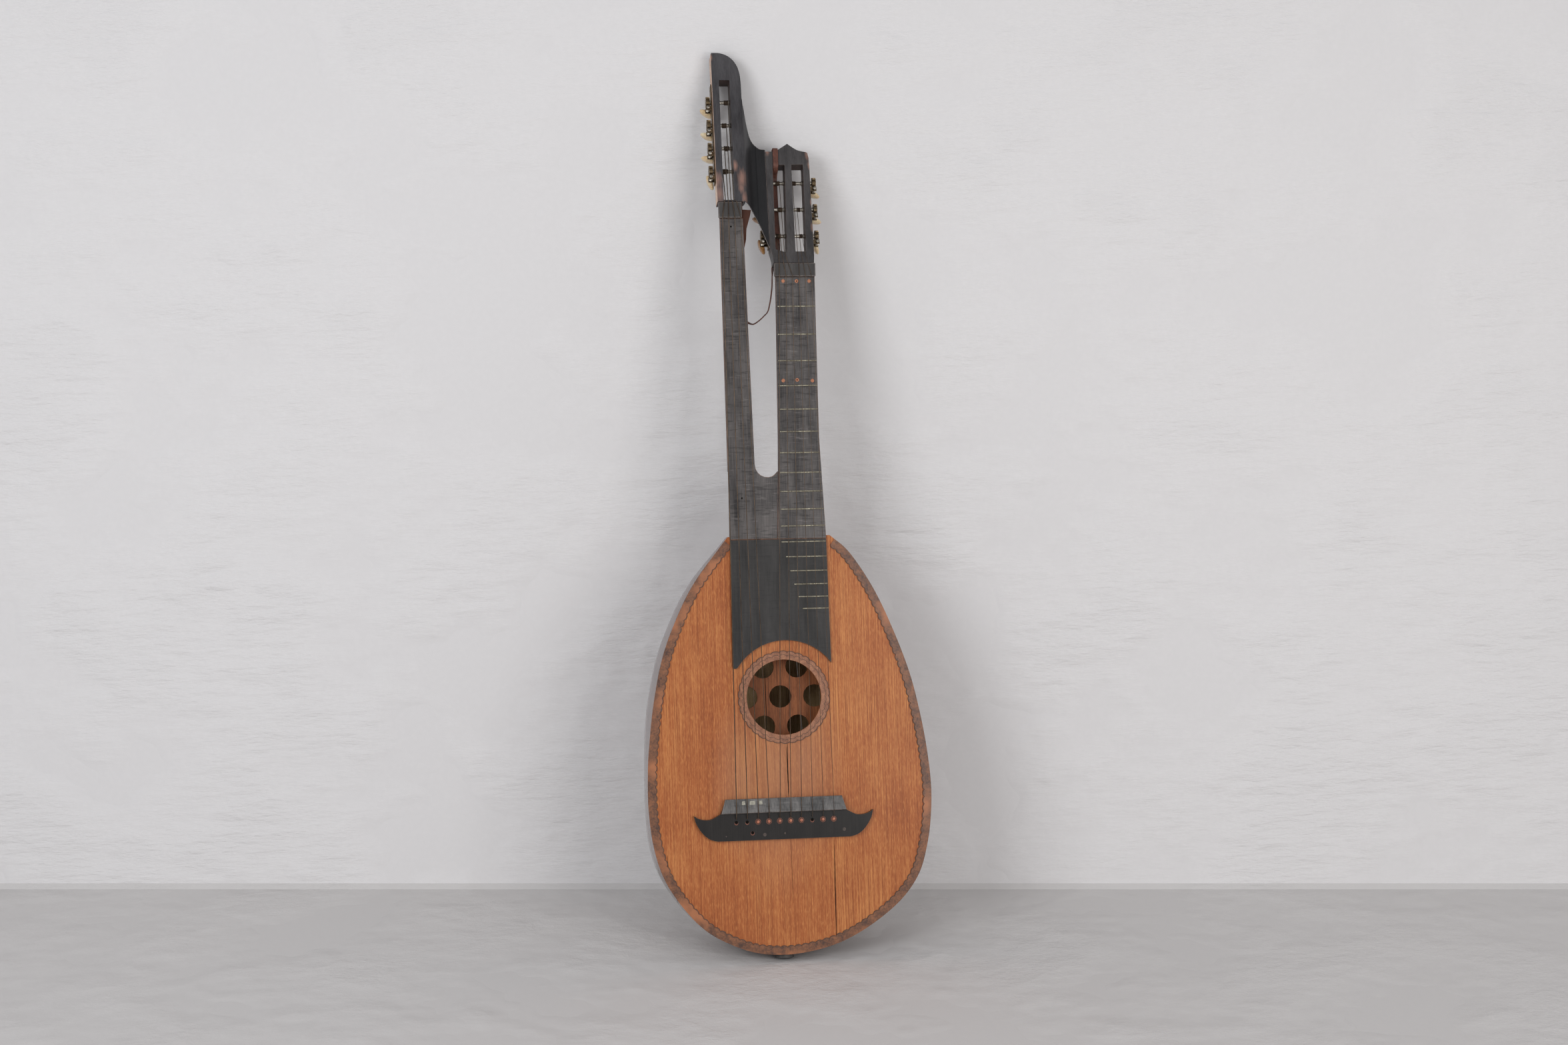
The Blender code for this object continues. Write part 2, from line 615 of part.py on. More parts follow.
def frets_mesh(name, numbers):
    """The bars of the given frets, which are sunk a little into their board."""
    bm = bmesh.new()
    for number in numbers:
        z = fret_z(number)
        left = on_line(FRET_LEFT, z)
        if number > SEAM_FRET:
            left = SHORT_FRET_START + SHORT_FRET_STEP * (number - SEAM_FRET - 1)
        right = on_line(FRETTED_RIGHT, z) if z > BOARD_SEAM_Z else board_side(1, z)
        low = (left, -BOARD_FACE - FRET_HEIGHT, z - FRET_WIDTH / 2)
        high = (right - 2 * CLEAR, -BOARD_FACE + FRET_HEIGHT, z + FRET_WIDTH / 2)
        add_box(bm, low, high)
    return finished(bm, name)


def bass_board_loop():
    """The bass fingerboard and the web below the fork."""
    top = BASS_NUT_Z - CLEAR
    foot = BOARD_SEAM_Z + CLEAR / 2
    seam_x = on_line(FRETTED_LEFT, FORK_Z - FORK_RADIUS / 2) - CLEAR
    end = -math.degrees(math.acos((seam_x - FORK_X) / FORK_RADIUS))
    fork = circle(FORK_X, FORK_Z, FORK_RADIUS, 9, 180, 180 + end)
    left = along_line(BASS_LEFT, foot, top)
    right = along_line(BASS_RIGHT, FORK_Z + MM, top)[::-1]
    seam = along_line(FRETTED_LEFT, foot, fork[-1][1], -CLEAR)[:-1]
    return left + right + fork + seam[::-1]


def fretted_board_loop():
    low, high = BOARD_SEAM_Z + CLEAR / 2, FRETTED_NUT_Z - CLEAR
    return along_line(FRETTED_LEFT, low, high) + along_line(FRETTED_RIGHT, low, high)[::-1]


def bridge_loop():
    right = smooth_through(millimetres(BRIDGE_EDGE[1:8]), 2)
    right += smooth_through(millimetres(BRIDGE_EDGE[7:]), 2)[1:]
    right = millimetres(BRIDGE_EDGE[:1]) + [tuple(p) for p in right]
    left = [(-x, z) for x, z in reversed(right)]
    return [(BRIDGE_X + x, z) for x, z in right + left]


def pins_mesh():
    bm = bmesh.new()
    for number in PINS_PRESENT:
        x = PIN_FIRST_X + PIN_PITCH * (number - 1)
        start = (x, -BRIDGE_THICKNESS + MM, PIN_Z)
        add_rod(bm, start, (x, -BRIDGE_THICKNESS - PIN_HEIGHT, PIN_Z), PIN_RADIUS, 8)
    return finished(bm, "pins")


def saddle_mesh():
    """A wedge whose face rises to the ridge that the strings cross."""
    foot = -BRIDGE_THICKNESS - CLEAR
    ridge = RIDGE_HALF_WIDTH
    rows = [(SADDLE_Z - 2 * ridge, SADDLE_HEIGHT - 2 * MM), (SADDLE_Z - ridge, SADDLE_HEIGHT),
            (SADDLE_Z + ridge, SADDLE_HEIGHT), (SADDLE_TOP_Z, SADDLE_FRONT_HEIGHT)]
    rings = []
    for z, height in rows:
        share = (z - rows[0][0]) / (SADDLE_TOP_Z - rows[0][0])
        half = SADDLE_HALF_WIDTH + (SADDLE_TOP_HALF_WIDTH - SADDLE_HALF_WIDTH) * share
        left, right = BRIDGE_X - half, BRIDGE_X + half
        rings.append([(left, foot, z), (right, foot, z), (right, -height, z), (left, -height, z)])
    return loft_mesh("saddle", rings)


def slot_edge(slot, side, z):
    """The x of a slot's left or right wall, at z along the head."""
    line = (slot[0], slot[1]) if side < 0 else (slot[3], slot[2])
    return on_line(line, z)


def slot_foot(slot, x):
    """The height along the head at which a slot begins, for a string at x."""
    (x0, z0), (x1, z1) = millimetres((slot[0], slot[3]))
    return z0 + (z1 - z0) * (x - x0) / (x1 - x0)


def wing_mesh():
    """A thin curved sheet from the bass head's face back to the fretted head's face."""
    top = smooth_through(millimetres(WING_TOP), 6)
    foot = smooth_through(millimetres(WING_FOOT), 6)
    columns = [-34, -28, -25.5, -23, -20.5, -18, -15, -12, -7, -1.5]
    rows = 7
    slope = math.tan(HEAD_TILT)
    step = (BASS_HEAD_Z - FRETTED_HEAD_Z) * slope
    front = []
    for x in (column * MM for column in columns):
        high = np.interp(x, [p[0] for p in top], [p[1] for p in top])
        low = np.interp(x, [p[0] for p in foot], [p[1] for p in foot])
        share = min(1, max(0, (x - WING_START_X) / (WING_LEVEL_X - WING_START_X)))
        fall = step * (3 - 2 * share) * share**2 + WING_HOLLOW * math.sin(math.pi * share)
        line = []
        for row in range(rows):
            z = FRETTED_NUT_Z + low + (high - low) * row / (rows - 1)
            line.append(Vector((x, -BOARD_FACE + (z - BASS_HEAD_Z) * slope + fall, z)))
        front.append(line)
    rings = []
    for line in front:
        behind = [point + Vector((0, WING_THICKNESS, 0)) for point in reversed(line)]
        rings.append(line + behind)
    return loft_mesh("wing", rings, smooth=40)


def head_holes_mesh(machines):
    """The holes for the rollers: through the cheek, and blind in the wall across the slot."""
    bm = bmesh.new()
    for machine in machines:
        side = machine["side"]
        for z in machine_heights(machine):
            near = slot_edge(machine["slot"], side, z)
            far = slot_edge(machine["slot"], -side, z)
            start = machine["edge"] + side * 5 * MM
            y = ROLLER_AXIS_DEPTH
            add_rod(bm, (start, y, z), (near - side * MM, y, z), ROLLER_SHAFT_RADIUS + RUNNING)
            deep = far - side * (ROLLER_PIN_LENGTH + RUNNING)
            add_rod(bm, (far + side * MM, y, z), (deep, y, z), ROLLER_PIN_RADIUS + RUNNING)
    return finished(bm, "head_holes")


def machine_heights(machine):
    """Where the cogs of a machine are, along its head."""
    return [machine["first"] + machine["pitch"] * i for i in range(machine["count"])]


def worm_x(machine):
    plate_face = machine["edge"] + machine["side"] * (CLEAR + PLATE_THICKNESS)
    return plate_face + machine["side"] * machine["stand_off"]


def cog_mesh(name, x):
    """A cog on the X axis, with a gap between two teeth straight below its centre."""
    root = TOOTH_ROOT_WIDTH / 2 / COG_ROOT_RADIUS
    tip = TOOTH_TIP_WIDTH / 2 / COG_RADIUS
    ring = []
    for tooth in range(COG_TEETH):
        middle = -math.pi / 2 + math.tau * (tooth + 0.5) / COG_TEETH
        for radius, offset in ((COG_ROOT_RADIUS, -root), (COG_RADIUS, -tip),
                               (COG_RADIUS, tip), (COG_ROOT_RADIUS, root)):
            angle = middle + offset
            ring.append((radius * math.cos(angle), radius * math.sin(angle)))
    sides = (x - COG_THICKNESS / 2, x + COG_THICKNESS / 2)
    return loft_mesh(name, [[(place, y, z) for y, z in ring] for place in sides])


def roller_mesh(machine, z, sides=10):
    """The shaft that carries the cog, with the roller between the slot's walls."""
    side = machine["side"]
    near = slot_edge(machine["slot"], side, z)
    far = slot_edge(machine["slot"], -side, z)
    outer = worm_x(machine) + side * (COG_THICKNESS / 2 - MM)
    profile = [(outer, ROLLER_SHAFT_RADIUS), (near - side * RUNNING, ROLLER_SHAFT_RADIUS),
               (near - side * RUNNING, ROLLER_RADIUS), (far + side * RUNNING, ROLLER_RADIUS),
               (far + side * RUNNING, ROLLER_PIN_RADIUS),
               (far - side * ROLLER_PIN_LENGTH, ROLLER_PIN_RADIUS)]
    rings = []
    for x, radius in profile:
        points = circle(0, 0, radius, sides)
        rings.append([(x, y, up) for y, up in points])
    return loft_mesh("roller", rings, smooth=40)


def worm_mesh(button_turn, sides=8):
    """Button, shaft, thread and ball on the Y axis, in one piece. Y is zero at the head's face."""
    bm = bmesh.new()

    def ring(y, wide, thick=None, turn=0.0):
        made = []
        for i in range(sides):
            angle = math.tau * i / sides
            a, b = wide * math.sin(angle), (wide if thick is None else thick) * math.cos(angle)
            x = a * math.cos(turn) + b * math.sin(turn)
            z = b * math.cos(turn) - a * math.sin(turn)
            made.append(bm.verts.new((x, y, z)))
        return made

    def join(low, high):
        for i in range(sides):
            j = (i + 1) % sides
            bm.faces.new((low[i], low[j], high[j], high[i]))

    shares = (0, 0.18, 0.36, 0.54)
    radii = (WORM_ROOT_RADIUS, WORM_RADIUS, WORM_RADIUS, WORM_ROOT_RADIUS)
    crest = (shares[1] + shares[2]) / 2
    start = ROLLER_AXIS_DEPTH - (1 + crest) * THREAD_PITCH
    steps = round(sides * THREAD_TURNS)
    lines = []
    for share, radius in zip(shares, radii):
        line = []
        for k in range(steps + 1):
            angle = math.tau * k / sides
            y = start + (share + k / sides) * THREAD_PITCH
            line.append(bm.verts.new((radius * math.sin(angle), y, radius * math.cos(angle))))
        lines.append(line)
    for low, high in zip(lines, lines[1:]):
        for k in range(steps):
            bm.faces.new((low[k], low[k + 1], high[k + 1], high[k]))
    for k in range(steps - sides):
        bm.faces.new((lines[3][k], lines[3][k + 1], lines[0][k + sides + 1], lines[0][k + sides]))
    end = start + (THREAD_TURNS + shares[3]) * THREAD_PITCH

    front = [ring(start - 5.2 * MM, 1.2 * MM), ring(start - 4.5 * MM, 2.0 * MM),
             ring(start - 3.3 * MM, 2.2 * MM), ring(start - 2.5 * MM, JOURNAL_RADIUS),
             ring(start - 0.4 * MM, JOURNAL_RADIUS)]
    for low, high in zip(front, front[1:]):
        join(low, high)
    bm.faces.new(front[0])
    for k in range(sides):
        bm.faces.new((front[-1][k], front[-1][(k + 1) % sides], lines[0][k + 1], lines[0][k]))
    bm.faces.new([front[-1][0]] + [line[0] for line in lines] + [lines[0][sides]])

    shift = steps % sides
    neck = ring(end + 0.3 * MM, WORM_ROOT_RADIUS)
    for k in range(sides):
        i, j = (k + shift) % sides, (k + 1 + shift) % sides
        low = steps - sides + k
        bm.faces.new((lines[3][low], lines[3][low + 1], neck[j], neck[i]))
    bm.faces.new([line[steps] for line in lines] + [neck[shift], lines[3][steps - sides]])

    root = HEAD_THICKNESS + BUTTON_GAP - 0.6 * MM
    rings = [neck, ring(root, WORM_ROOT_RADIUS)]
    for share, size in ((0, 0.4), (0.2, 0.8), (0.5, 1), (0.8, 0.88), (1, 0.45)):
        y = root + 0.6 * MM + share * BUTTON_LENGTH
        rings.append(ring(y, size * BUTTON_HALF_WIDTH, size * BUTTON_HALF_THICKNESS, button_turn))
    for low, high in zip(rings, rings[1:]):
        join(low, high)
    bm.faces.new(rings[-1])
    return finished(bm, "worm", 50)


def lug_places(machine):
    """The front and back Y of the two lugs that hold a worm."""
    crest = 0.27
    start = ROLLER_AXIS_DEPTH - (1 + crest) * THREAD_PITCH
    end = start + (THREAD_TURNS + 0.54) * THREAD_PITCH
    front = start - 0.6 * MM - LUG_THICKNESS
    return front, end + 0.6 * MM


def plate_and_lugs(machine, parent):
    """The brass strip on the head's side, with two lugs for each worm."""
    side = machine["side"]
    inner = machine["edge"] + side * CLEAR
    outer = inner + side * PLATE_THICKNESS
    front, back = lug_places(machine)
    heights = machine_heights(machine)
    low_z = heights[0] - WORM_GAP - PLATE_FOOT_MARGIN
    high_z = heights[-1] + PLATE_TOP_MARGIN
    xs = sorted((inner, outer))
    name = f"{machine['name']}_tuner_plate"
    mesh = box_mesh(name, (xs[0], front, low_z), (xs[1], back + LUG_THICKNESS, high_z))
    plate = new_piece(name, mesh, "brass", parent)
    reach = sorted((outer - side * PLATE_THICKNESS / 2, worm_x(machine) + side * LUG_HALF_WIDTH))
    lugs, holes = bmesh.new(), bmesh.new()
    for z in heights:
        worm_z = z - WORM_GAP
        for y in (front, back):
            low = (reach[0], y, worm_z - LUG_HALF_WIDTH)
            add_box(lugs, low, (reach[1], y + LUG_THICKNESS, worm_z + LUG_HALF_WIDTH))
        x = worm_x(machine)
        middle = (front + back) / 2
        add_rod(holes, (x, front - MM, worm_z), (x, middle, worm_z), JOURNAL_RADIUS + RUNNING, 8)
        radius = WORM_ROOT_RADIUS + RUNNING
        add_rod(holes, (x, middle + MM, worm_z), (x, back + 3 * MM, worm_z), radius, 8)
        start, end = inner - side * MM, outer + side * 0.5 * MM
        y = ROLLER_AXIS_DEPTH
        add_rod(holes, (start, y, z), (end, y, z), ROLLER_SHAFT_RADIUS + RUNNING)
    lug_piece = new_cutter(f"{name}_lugs", finished(lugs, "lugs"), parent)
    hole_piece = new_cutter(f"{name}_holes", finished(holes, "holes"), parent)
    boolean(plate, lug_piece, "UNION")
    boolean(plate, hole_piece, "DIFFERENCE")


def build_machine(machine, parent):
    """The plate, the worms and the rollers of one side of a head."""
    plate_and_lugs(machine, parent)
    for number, z in enumerate(machine_heights(machine), 1):
        turn = math.radians(70) if number == 1 else math.radians(8 * number)
        name = machine["name"]
        place = (worm_x(machine), 0, z - WORM_GAP)
        new_piece(f"{name}_worm_{number}", worm_mesh(turn), "brass", parent, place)
        centre = (0, ROLLER_AXIS_DEPTH, z)
        roller = new_piece(f"{name}_roller_{number}", roller_mesh(machine, z), "brass", parent, centre)
        cog = new_cutter(f"{name}_cog_{number}", cog_mesh("cog", worm_x(machine)), parent, centre)
        boolean(roller, cog, "UNION")


def tube(name, points, radius, parent, finish):
    """A string: a thin round tube along straight runs."""
    curve = bpy.data.curves.new(name, "CURVE")
    curve.dimensions = "3D"
    curve.bevel_depth = radius
    curve.bevel_resolution = 1
    curve.use_fill_caps = True
    spline = curve.splines.new("POLY")
    spline.points.add(len(points) - 1)
    for target, point in zip(spline.points, points):
        target.co = (*point, 1)
    curve.materials.append(MATERIALS[finish])
    made = bpy.data.objects.new(name, curve)
    made.parent = parent
    PARTS.objects.link(made)


def head_to_lute(point, head_z):
    """A point of a head's frame in the lute's frame."""
    x, y, z = point
    cos, sin = math.cos(HEAD_TILT), math.sin(HEAD_TILT)
    return (x, -BOARD_FACE + y * cos + z * sin, head_z - y * sin + z * cos)


def string_points(pin, x_nut, x_slot, radius, nut, head_z, slot, roller_z):
    """From the pin over the saddle and the nut, into the slot and round the front of the roller."""
    nut_z, nut_width = nut
    x_pin = PIN_FIRST_X + PIN_PITCH * pin
    lift = CLEAR + radius
    points = [(x_pin, -BRIDGE_THICKNESS - lift, PIN_Z + PIN_RADIUS + 2 * radius),
              (x_pin, -SADDLE_HEIGHT - lift, SADDLE_Z - RIDGE_HALF_WIDTH - CLEAR),
              (x_nut, -NUT_HEIGHT - lift, nut_z + MM),
              (x_nut + (x_slot - x_nut) * 0.6, -NUT_HEIGHT - lift, nut_z + nut_width)]
    foot = slot_foot(slot, x_slot)
    points.append(head_to_lute((x_slot, -lift - CLEAR, foot + 0.4 * MM), head_z))
    reach = ROLLER_RADIUS + lift
    for degrees in (-20, 15, 50, 85):
        angle = math.radians(degrees)
        y = ROLLER_AXIS_DEPTH - reach * math.cos(angle)
        z = roller_z + reach * math.sin(angle)
        points.append(head_to_lute((x_slot, y, z), head_z))
    return points


def build_strings(parent):
    rows = {machine["name"]: machine_heights(machine) for machine in MACHINES}
    jobs = []
    for i, radius in enumerate(BASS_STRING_RADII):
        jobs.append((f"bass_string_{i + 1}", i, BASS_AT_NUT[i], BASS_IN_SLOT[i], radius,
                     (BASS_NUT_Z, BASS_NUT_WIDTH), BASS_HEAD_Z, BASS_SLOT, rows["bass"][i]))
    for i, radius in enumerate(FRETTED_STRING_RADII):
        heights = rows["left"] if i < 3 else rows["right"][::-1]
        slot = LEFT_SLOT if i < 3 else RIGHT_SLOT
        jobs.append((f"fretted_string_{i + 1}", i + len(BASS_STRING_RADII), FRETTED_AT_NUT[i],
                     FRETTED_IN_SLOT[i], radius, (FRETTED_NUT_Z, FRETTED_NUT_WIDTH),
                     FRETTED_HEAD_Z, slot, heights[i % 3]))
    for name, *route in jobs:
        tube(name, string_points(*route), route[3], parent, "string")


def strap_points():
    """Points along the strap's middle, each with the direction of its width, in the lute's frame."""
    off = STRAP_THICKNESS / 2 + CLEAR
    top = 141.4 * MM + off
    back = HEAD_THICKNESS + off
    behind = ROLLER_AXIS_DEPTH + ROLLER_RADIUS + off
    flat = (1, 0, 0)
    on_head = [  # x, y, z in the fretted head's frame
        (10.2, back, 112 * MM), (10.2, back, 128 * MM), (10.3, back, 138 * MM),
        (10.3, back - 1.2 * MM, top), (10.3, HEAD_THICKNESS / 2, top), (10.3, 0.2 * MM, top),
        (10.3, -off, 138.4 * MM), (10.2, -off, 130 * MM), (10.1, -off, 121.4 * MM),
        (10.0, 4 * MM, 116.6 * MM), (9.9, 11 * MM, 114 * MM), (9.9, behind - 0.8 * MM, 110 * MM),
        (9.9, behind, 103 * MM), (9.8, behind, 70 * MM), (9.6, behind, 38 * MM),
        (9.5, behind + 0.6 * MM, 27 * MM), (9.4, back + 2.5 * MM, 16 * MM),
    ]
    made = []
    for x, y, z in on_head:
        made.append((head_to_lute((x * MM, y, z), FRETTED_HEAD_Z), flat))
    neck_back = FRETTED_NECK_DEPTH + off
    round_necks = [  # x, y and height above the nut
        ((7.6 * MM, neck_back + 3.8 * MM, 23 * MM), (0.9, 0.3, 0)),
        ((3.4 * MM, neck_back - 1.0 * MM, 13 * MM), (0.5, 0.8, 0)),
        ((1.6 * MM, neck_back - 7.0 * MM, 2 * MM), (0.1, 1, 0)),
        ((0.8 * MM, neck_back - 8.0 * MM, -11 * MM), (0, 1, 0)),
        ((-1.5 * MM, neck_back - 8.0 * MM, -26 * MM), (0, 1, 0)),
        ((-4.6 * MM, neck_back - 7.5 * MM, -38 * MM), (0, 1, 0)),
        ((-9.2 * MM, neck_back - 6.5 * MM, -43.5 * MM), (0, 1, 0)),
        ((-15.4 * MM, neck_back - 5.0 * MM, -49 * MM), (0, 1, 0.1)),
        ((-21.4 * MM, neck_back - 3.0 * MM, -52.4 * MM), (0, 1, 0.2)),
        ((-26.5 * MM, neck_back - 0.6 * MM, -51 * MM), (0, 0.9, 0.4)),
        ((-32.0 * MM, neck_back + 2.2 * MM, -48.5 * MM), (0.2, 0.5, 0.8)),
        ((-39.0 * MM, neck_back + 3.0 * MM, -47 * MM), (0, 0, 1)),
        ((-47.0 * MM, neck_back + 3.0 * MM, -46 * MM), (0, 0, 1)),
    ]
    for (x, y, z), width in round_necks:
        made.append(((x, y, FRETTED_NUT_Z + z), width))
    return made


def strap_mesh():
    marks = strap_points()
    path = smooth_through([point for point, _ in marks], 2)
    widths = smooth_through([width for _, width in marks], 2)
    rings = []
    for i, point in enumerate(path):
        before, after = path[max(i - 1, 0)], path[min(i + 1, len(path) - 1)]
        along = Vector(after - before).normalized()
        wide = Vector(widths[i])
        wide = (wide - along * wide.dot(along)).normalized()
        thick = along.cross(wide)
        ring = []
        for a, b in ((-1, -1), (1, -1), (1, 1), (-1, 1)):
            corner = Vector(point) + wide * (a * STRAP_WIDTH / 2) + thick * (b * STRAP_THICKNESS / 2)
            ring.append(corner)
        rings.append(ring)
    return loft_mesh("leather_strap", rings)


def build_body(lute):
    hole = circle(0, 0, HOLE_RADIUS, 40)
    top = flat_mesh("soundboard", [top_outline(), hole], 0, TOP_THICKNESS)
    new_piece("soundboard", top, "spruce", lute)
    trim = (-CLEAR - TRIM_THICKNESS, -CLEAR)
    new_piece("edge_band", flat_mesh("edge_band", [band_loop()], *trim), "dark_band", lute)
    ring = flat_mesh("rosette_ring", [circle(0, 0, ROSETTE_RADIUS, 40), hole], *trim)
    new_piece("rosette_ring", ring, "rosette", lute)
    for index in range(RIBS):
        new_piece(f"rib_{index + 1}", rib_mesh(index), "rib_wood", lute)

    inset = RIB_THICKNESS + CLEAR
    rows = [z for z in rib_heights()[1:] if z > BODY_TOP_Z - NECK_BLOCK_LENGTH]
    neck = block_mesh("neck_block", [BODY_TOP_Z - CLEAR, *rows], inset)
    new_piece("neck_block", neck, "inner_wood", lute)
    rows = [z for z in rib_heights() if z < TAIL_Z + TAIL_BLOCK_LENGTH]
    tail = block_mesh("tail_block", rows, inset)
    tail_piece = new_piece("tail_block", tail, "black_wood", lute)
    x = body_width(RIB_END_Z)[0]
    for name, half_x, half_y, low, high in (
        ("tail_boss", BOSS_HALF_WIDTH, BOSS_HALF_DEPTH, FOOT_TOP_Z - MM, TAIL_Z + 8 * MM),
        ("tail_foot", FOOT_HALF_WIDTH, FOOT_HALF_DEPTH, FOOT_TOP_Z - FOOT_HEIGHT, FOOT_TOP_Z),
    ):
        section = circle(0, 0, 1, 16)
        rings = [[(x + half_x * a, FOOT_Y + half_y * b, z) for a, b in section] for z in (low, high)]
        boolean(tail_piece, new_cutter(name, loft_mesh(name, rings), lute), "UNION")

    for name, z in (("upper_bar", BAR_Z), ("lower_bar", -BAR_Z)):
        edges = [body_width(z + BAR_WIDTH / 2), body_width(z - BAR_WIDTH / 2)]
        wall = RIB_THICKNESS + 3 * CLEAR
        left = max(middle - half for middle, half in edges) + wall
        right = min(middle + half for middle, half in edges) - wall
        low = (left, RIM_Y, z - BAR_WIDTH / 2)
        high = (right, RIM_Y + BAR_HEIGHT, z + BAR_WIDTH / 2)
        new_piece(name, box_mesh(name, low, high), "inner_wood", lute)
    half = SIEVE_WIDTH / 2
    reach = BAR_Z + BAR_WIDTH
    loops = [[(-half, -reach), (half, -reach), (half, reach), (-half, reach)]]
    loops.append(circle(0, 0, SIEVE_HOLE_RADIUS, 16))
    for x, z in circle(0, 0, SIEVE_PITCH, 6, SIEVE_FIRST_ANGLE):
        loops.append(circle(x, z, SIEVE_HOLE_RADIUS, 16))
    sieve = flat_mesh("sieve_board", loops, SIEVE_Y, SIEVE_Y + SIEVE_THICKNESS)
    new_piece("sieve_board", sieve, "sieve_wood", lute)

    bridge = flat_mesh("bridge", [bridge_loop()], -BRIDGE_THICKNESS, -CLEAR)
    bridge_piece = new_piece("bridge", bridge, "bridge", lute)
    boolean(bridge_piece, new_cutter("pins", pins_mesh(), lute), "UNION")
    new_piece("saddle", saddle_mesh(), "saddle", lute)


def build_necks(lute):
    new_piece("fretted_neck", fretted_neck_mesh(), "neck_wood", lute)
    neck = new_piece("bass_neck", bass_neck_mesh(), "neck_wood", lute)
    bm = bmesh.new()
    add_rod(bm, (FORK_X, -MM, FORK_Z), (FORK_X, NECK_HEEL_DEPTH, FORK_Z), FORK_RADIUS, 24)
    boolean(neck, new_cutter("fork", finished(bm, "fork"), lute), "DIFFERENCE")

    boards = (-BOARD_FACE, -CLEAR)
    board = flat_mesh("fretted_fingerboard", [fretted_board_loop()], *boards)
    piece = new_piece("fretted_fingerboard", board, "fingerboard", lute)
    frets = new_cutter("frets", frets_mesh("frets", range(1, SEAM_FRET)), lute)
    boolean(piece, frets, "UNION")
    board = flat_mesh("body_fingerboard", [board_loop()], *boards)
    piece = new_piece("body_fingerboard", board, "fingerboard", lute)
    frets = frets_mesh("body_frets", range(SEAM_FRET, LAST_FRET + 1))
    boolean(piece, new_cutter("body_frets", frets, lute), "UNION")
    board = flat_mesh("bass_fingerboard", [bass_board_loop()], *boards)
    new_piece("bass_fingerboard", board, "fingerboard", lute)

    for name, z, width, (left, right) in (
        ("fretted_nut", FRETTED_NUT_Z, FRETTED_NUT_WIDTH, FRETTED_NUT_EDGES),
        ("bass_nut", BASS_NUT_Z, BASS_NUT_WIDTH, BASS_NUT_EDGES),
    ):
        low = (left, -NUT_HEIGHT, z)
        high = (right, -CLEAR, z + width)
        piece = new_piece(name, box_mesh(name, low, high), "black_wood", lute)
        edge = piece.modifiers.new("Bevel", "BEVEL")
        edge.width = 0.6 * MM
        edge.segments = 1


def build_heads(lute):
    frames = {}
    for name, z, outline, slots in (
        ("bass", BASS_HEAD_Z, BASS_OUTLINE, [BASS_SLOT]),
        ("fretted", FRETTED_HEAD_Z, FRETTED_OUTLINE, [LEFT_SLOT, RIGHT_SLOT]),
    ):
        frame = new_frame(f"{name}_head_frame", (0, -BOARD_FACE, z), -HEAD_TILT, lute)
        loops = [millimetres(outline)] + [millimetres(slot) for slot in slots]
        mesh = flat_mesh(f"{name}_head", loops, 0, HEAD_THICKNESS)
        head = new_piece(f"{name}_head", mesh, "black_wood", frame)
        machines = [machine for machine in MACHINES if machine["head"] == name]
        holes = new_cutter(f"{name}_head_holes", head_holes_mesh(machines), frame)
        boolean(head, holes, "DIFFERENCE")
        if name == "bass":
            boolean(head, new_cutter("wing", wing_mesh(), lute), "UNION")
        for machine in machines:
            build_machine(machine, frame)
        frames[name] = frame
    return frames


def build_lute():
    tail_x = body_width(RIB_END_Z)[0]
    lute = new_frame("lute", (-tail_x, -FOOT_Y, FOOT_HEIGHT - FOOT_TOP_Z))
    build_body(lute)
    build_necks(lute)
    build_heads(lute)
    build_strings(lute)
    new_piece("leather_strap", strap_mesh(), "leather", lute)


build_lute()
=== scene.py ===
# %% [markdown]
# # A swedish lute, dressed
#
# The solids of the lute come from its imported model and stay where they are. This lesson gives them
# their finishes, and replaces the plain ones with finer pieces: a bowl of smooth ribs, a scrolled
# edge band, tuning machines with bone buttons, and so on. Each piece rides on the solid it sits on.

# %% Load the solids
import json
import math

import bmesh
import bpy
import numpy as np
from mathutils import Matrix, Vector, noise

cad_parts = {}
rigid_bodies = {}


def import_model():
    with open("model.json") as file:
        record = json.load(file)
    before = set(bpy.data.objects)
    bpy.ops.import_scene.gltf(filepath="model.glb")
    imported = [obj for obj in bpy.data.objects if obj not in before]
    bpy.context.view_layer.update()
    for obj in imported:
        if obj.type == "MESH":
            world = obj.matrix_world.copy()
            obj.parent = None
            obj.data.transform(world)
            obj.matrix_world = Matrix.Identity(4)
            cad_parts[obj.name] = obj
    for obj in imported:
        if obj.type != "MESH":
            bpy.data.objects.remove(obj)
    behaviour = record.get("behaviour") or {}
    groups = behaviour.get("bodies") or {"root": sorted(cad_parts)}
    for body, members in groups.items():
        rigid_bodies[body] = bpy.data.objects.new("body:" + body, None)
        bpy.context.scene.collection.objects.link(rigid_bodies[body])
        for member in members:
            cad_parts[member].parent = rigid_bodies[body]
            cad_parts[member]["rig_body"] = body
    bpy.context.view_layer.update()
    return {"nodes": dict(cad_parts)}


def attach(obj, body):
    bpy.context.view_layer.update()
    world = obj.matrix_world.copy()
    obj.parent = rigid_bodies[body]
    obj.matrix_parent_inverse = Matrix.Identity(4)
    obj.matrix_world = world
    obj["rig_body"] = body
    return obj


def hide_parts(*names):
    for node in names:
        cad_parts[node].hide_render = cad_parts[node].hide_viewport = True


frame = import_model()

# %% [markdown]
# ## Places
#
# The lute was measured in millimetres from the middle of its sound hole, with x to the right, y
# back from the soundboard and z up. The model's zero is under the tail foot, so one function turns
# a measured place into the model's metres. Each head leans back, so it has a frame of its own.

# %% Measured places
MM = 0.001
HOLE_CENTRE = Vector((6.2779, -10.0, 298.5))
HEAD_TILT = math.radians(10)
BOARD_FACE = 3.0
BASS_HEAD_Z, FRETTED_HEAD_Z = 576.1, 504.1


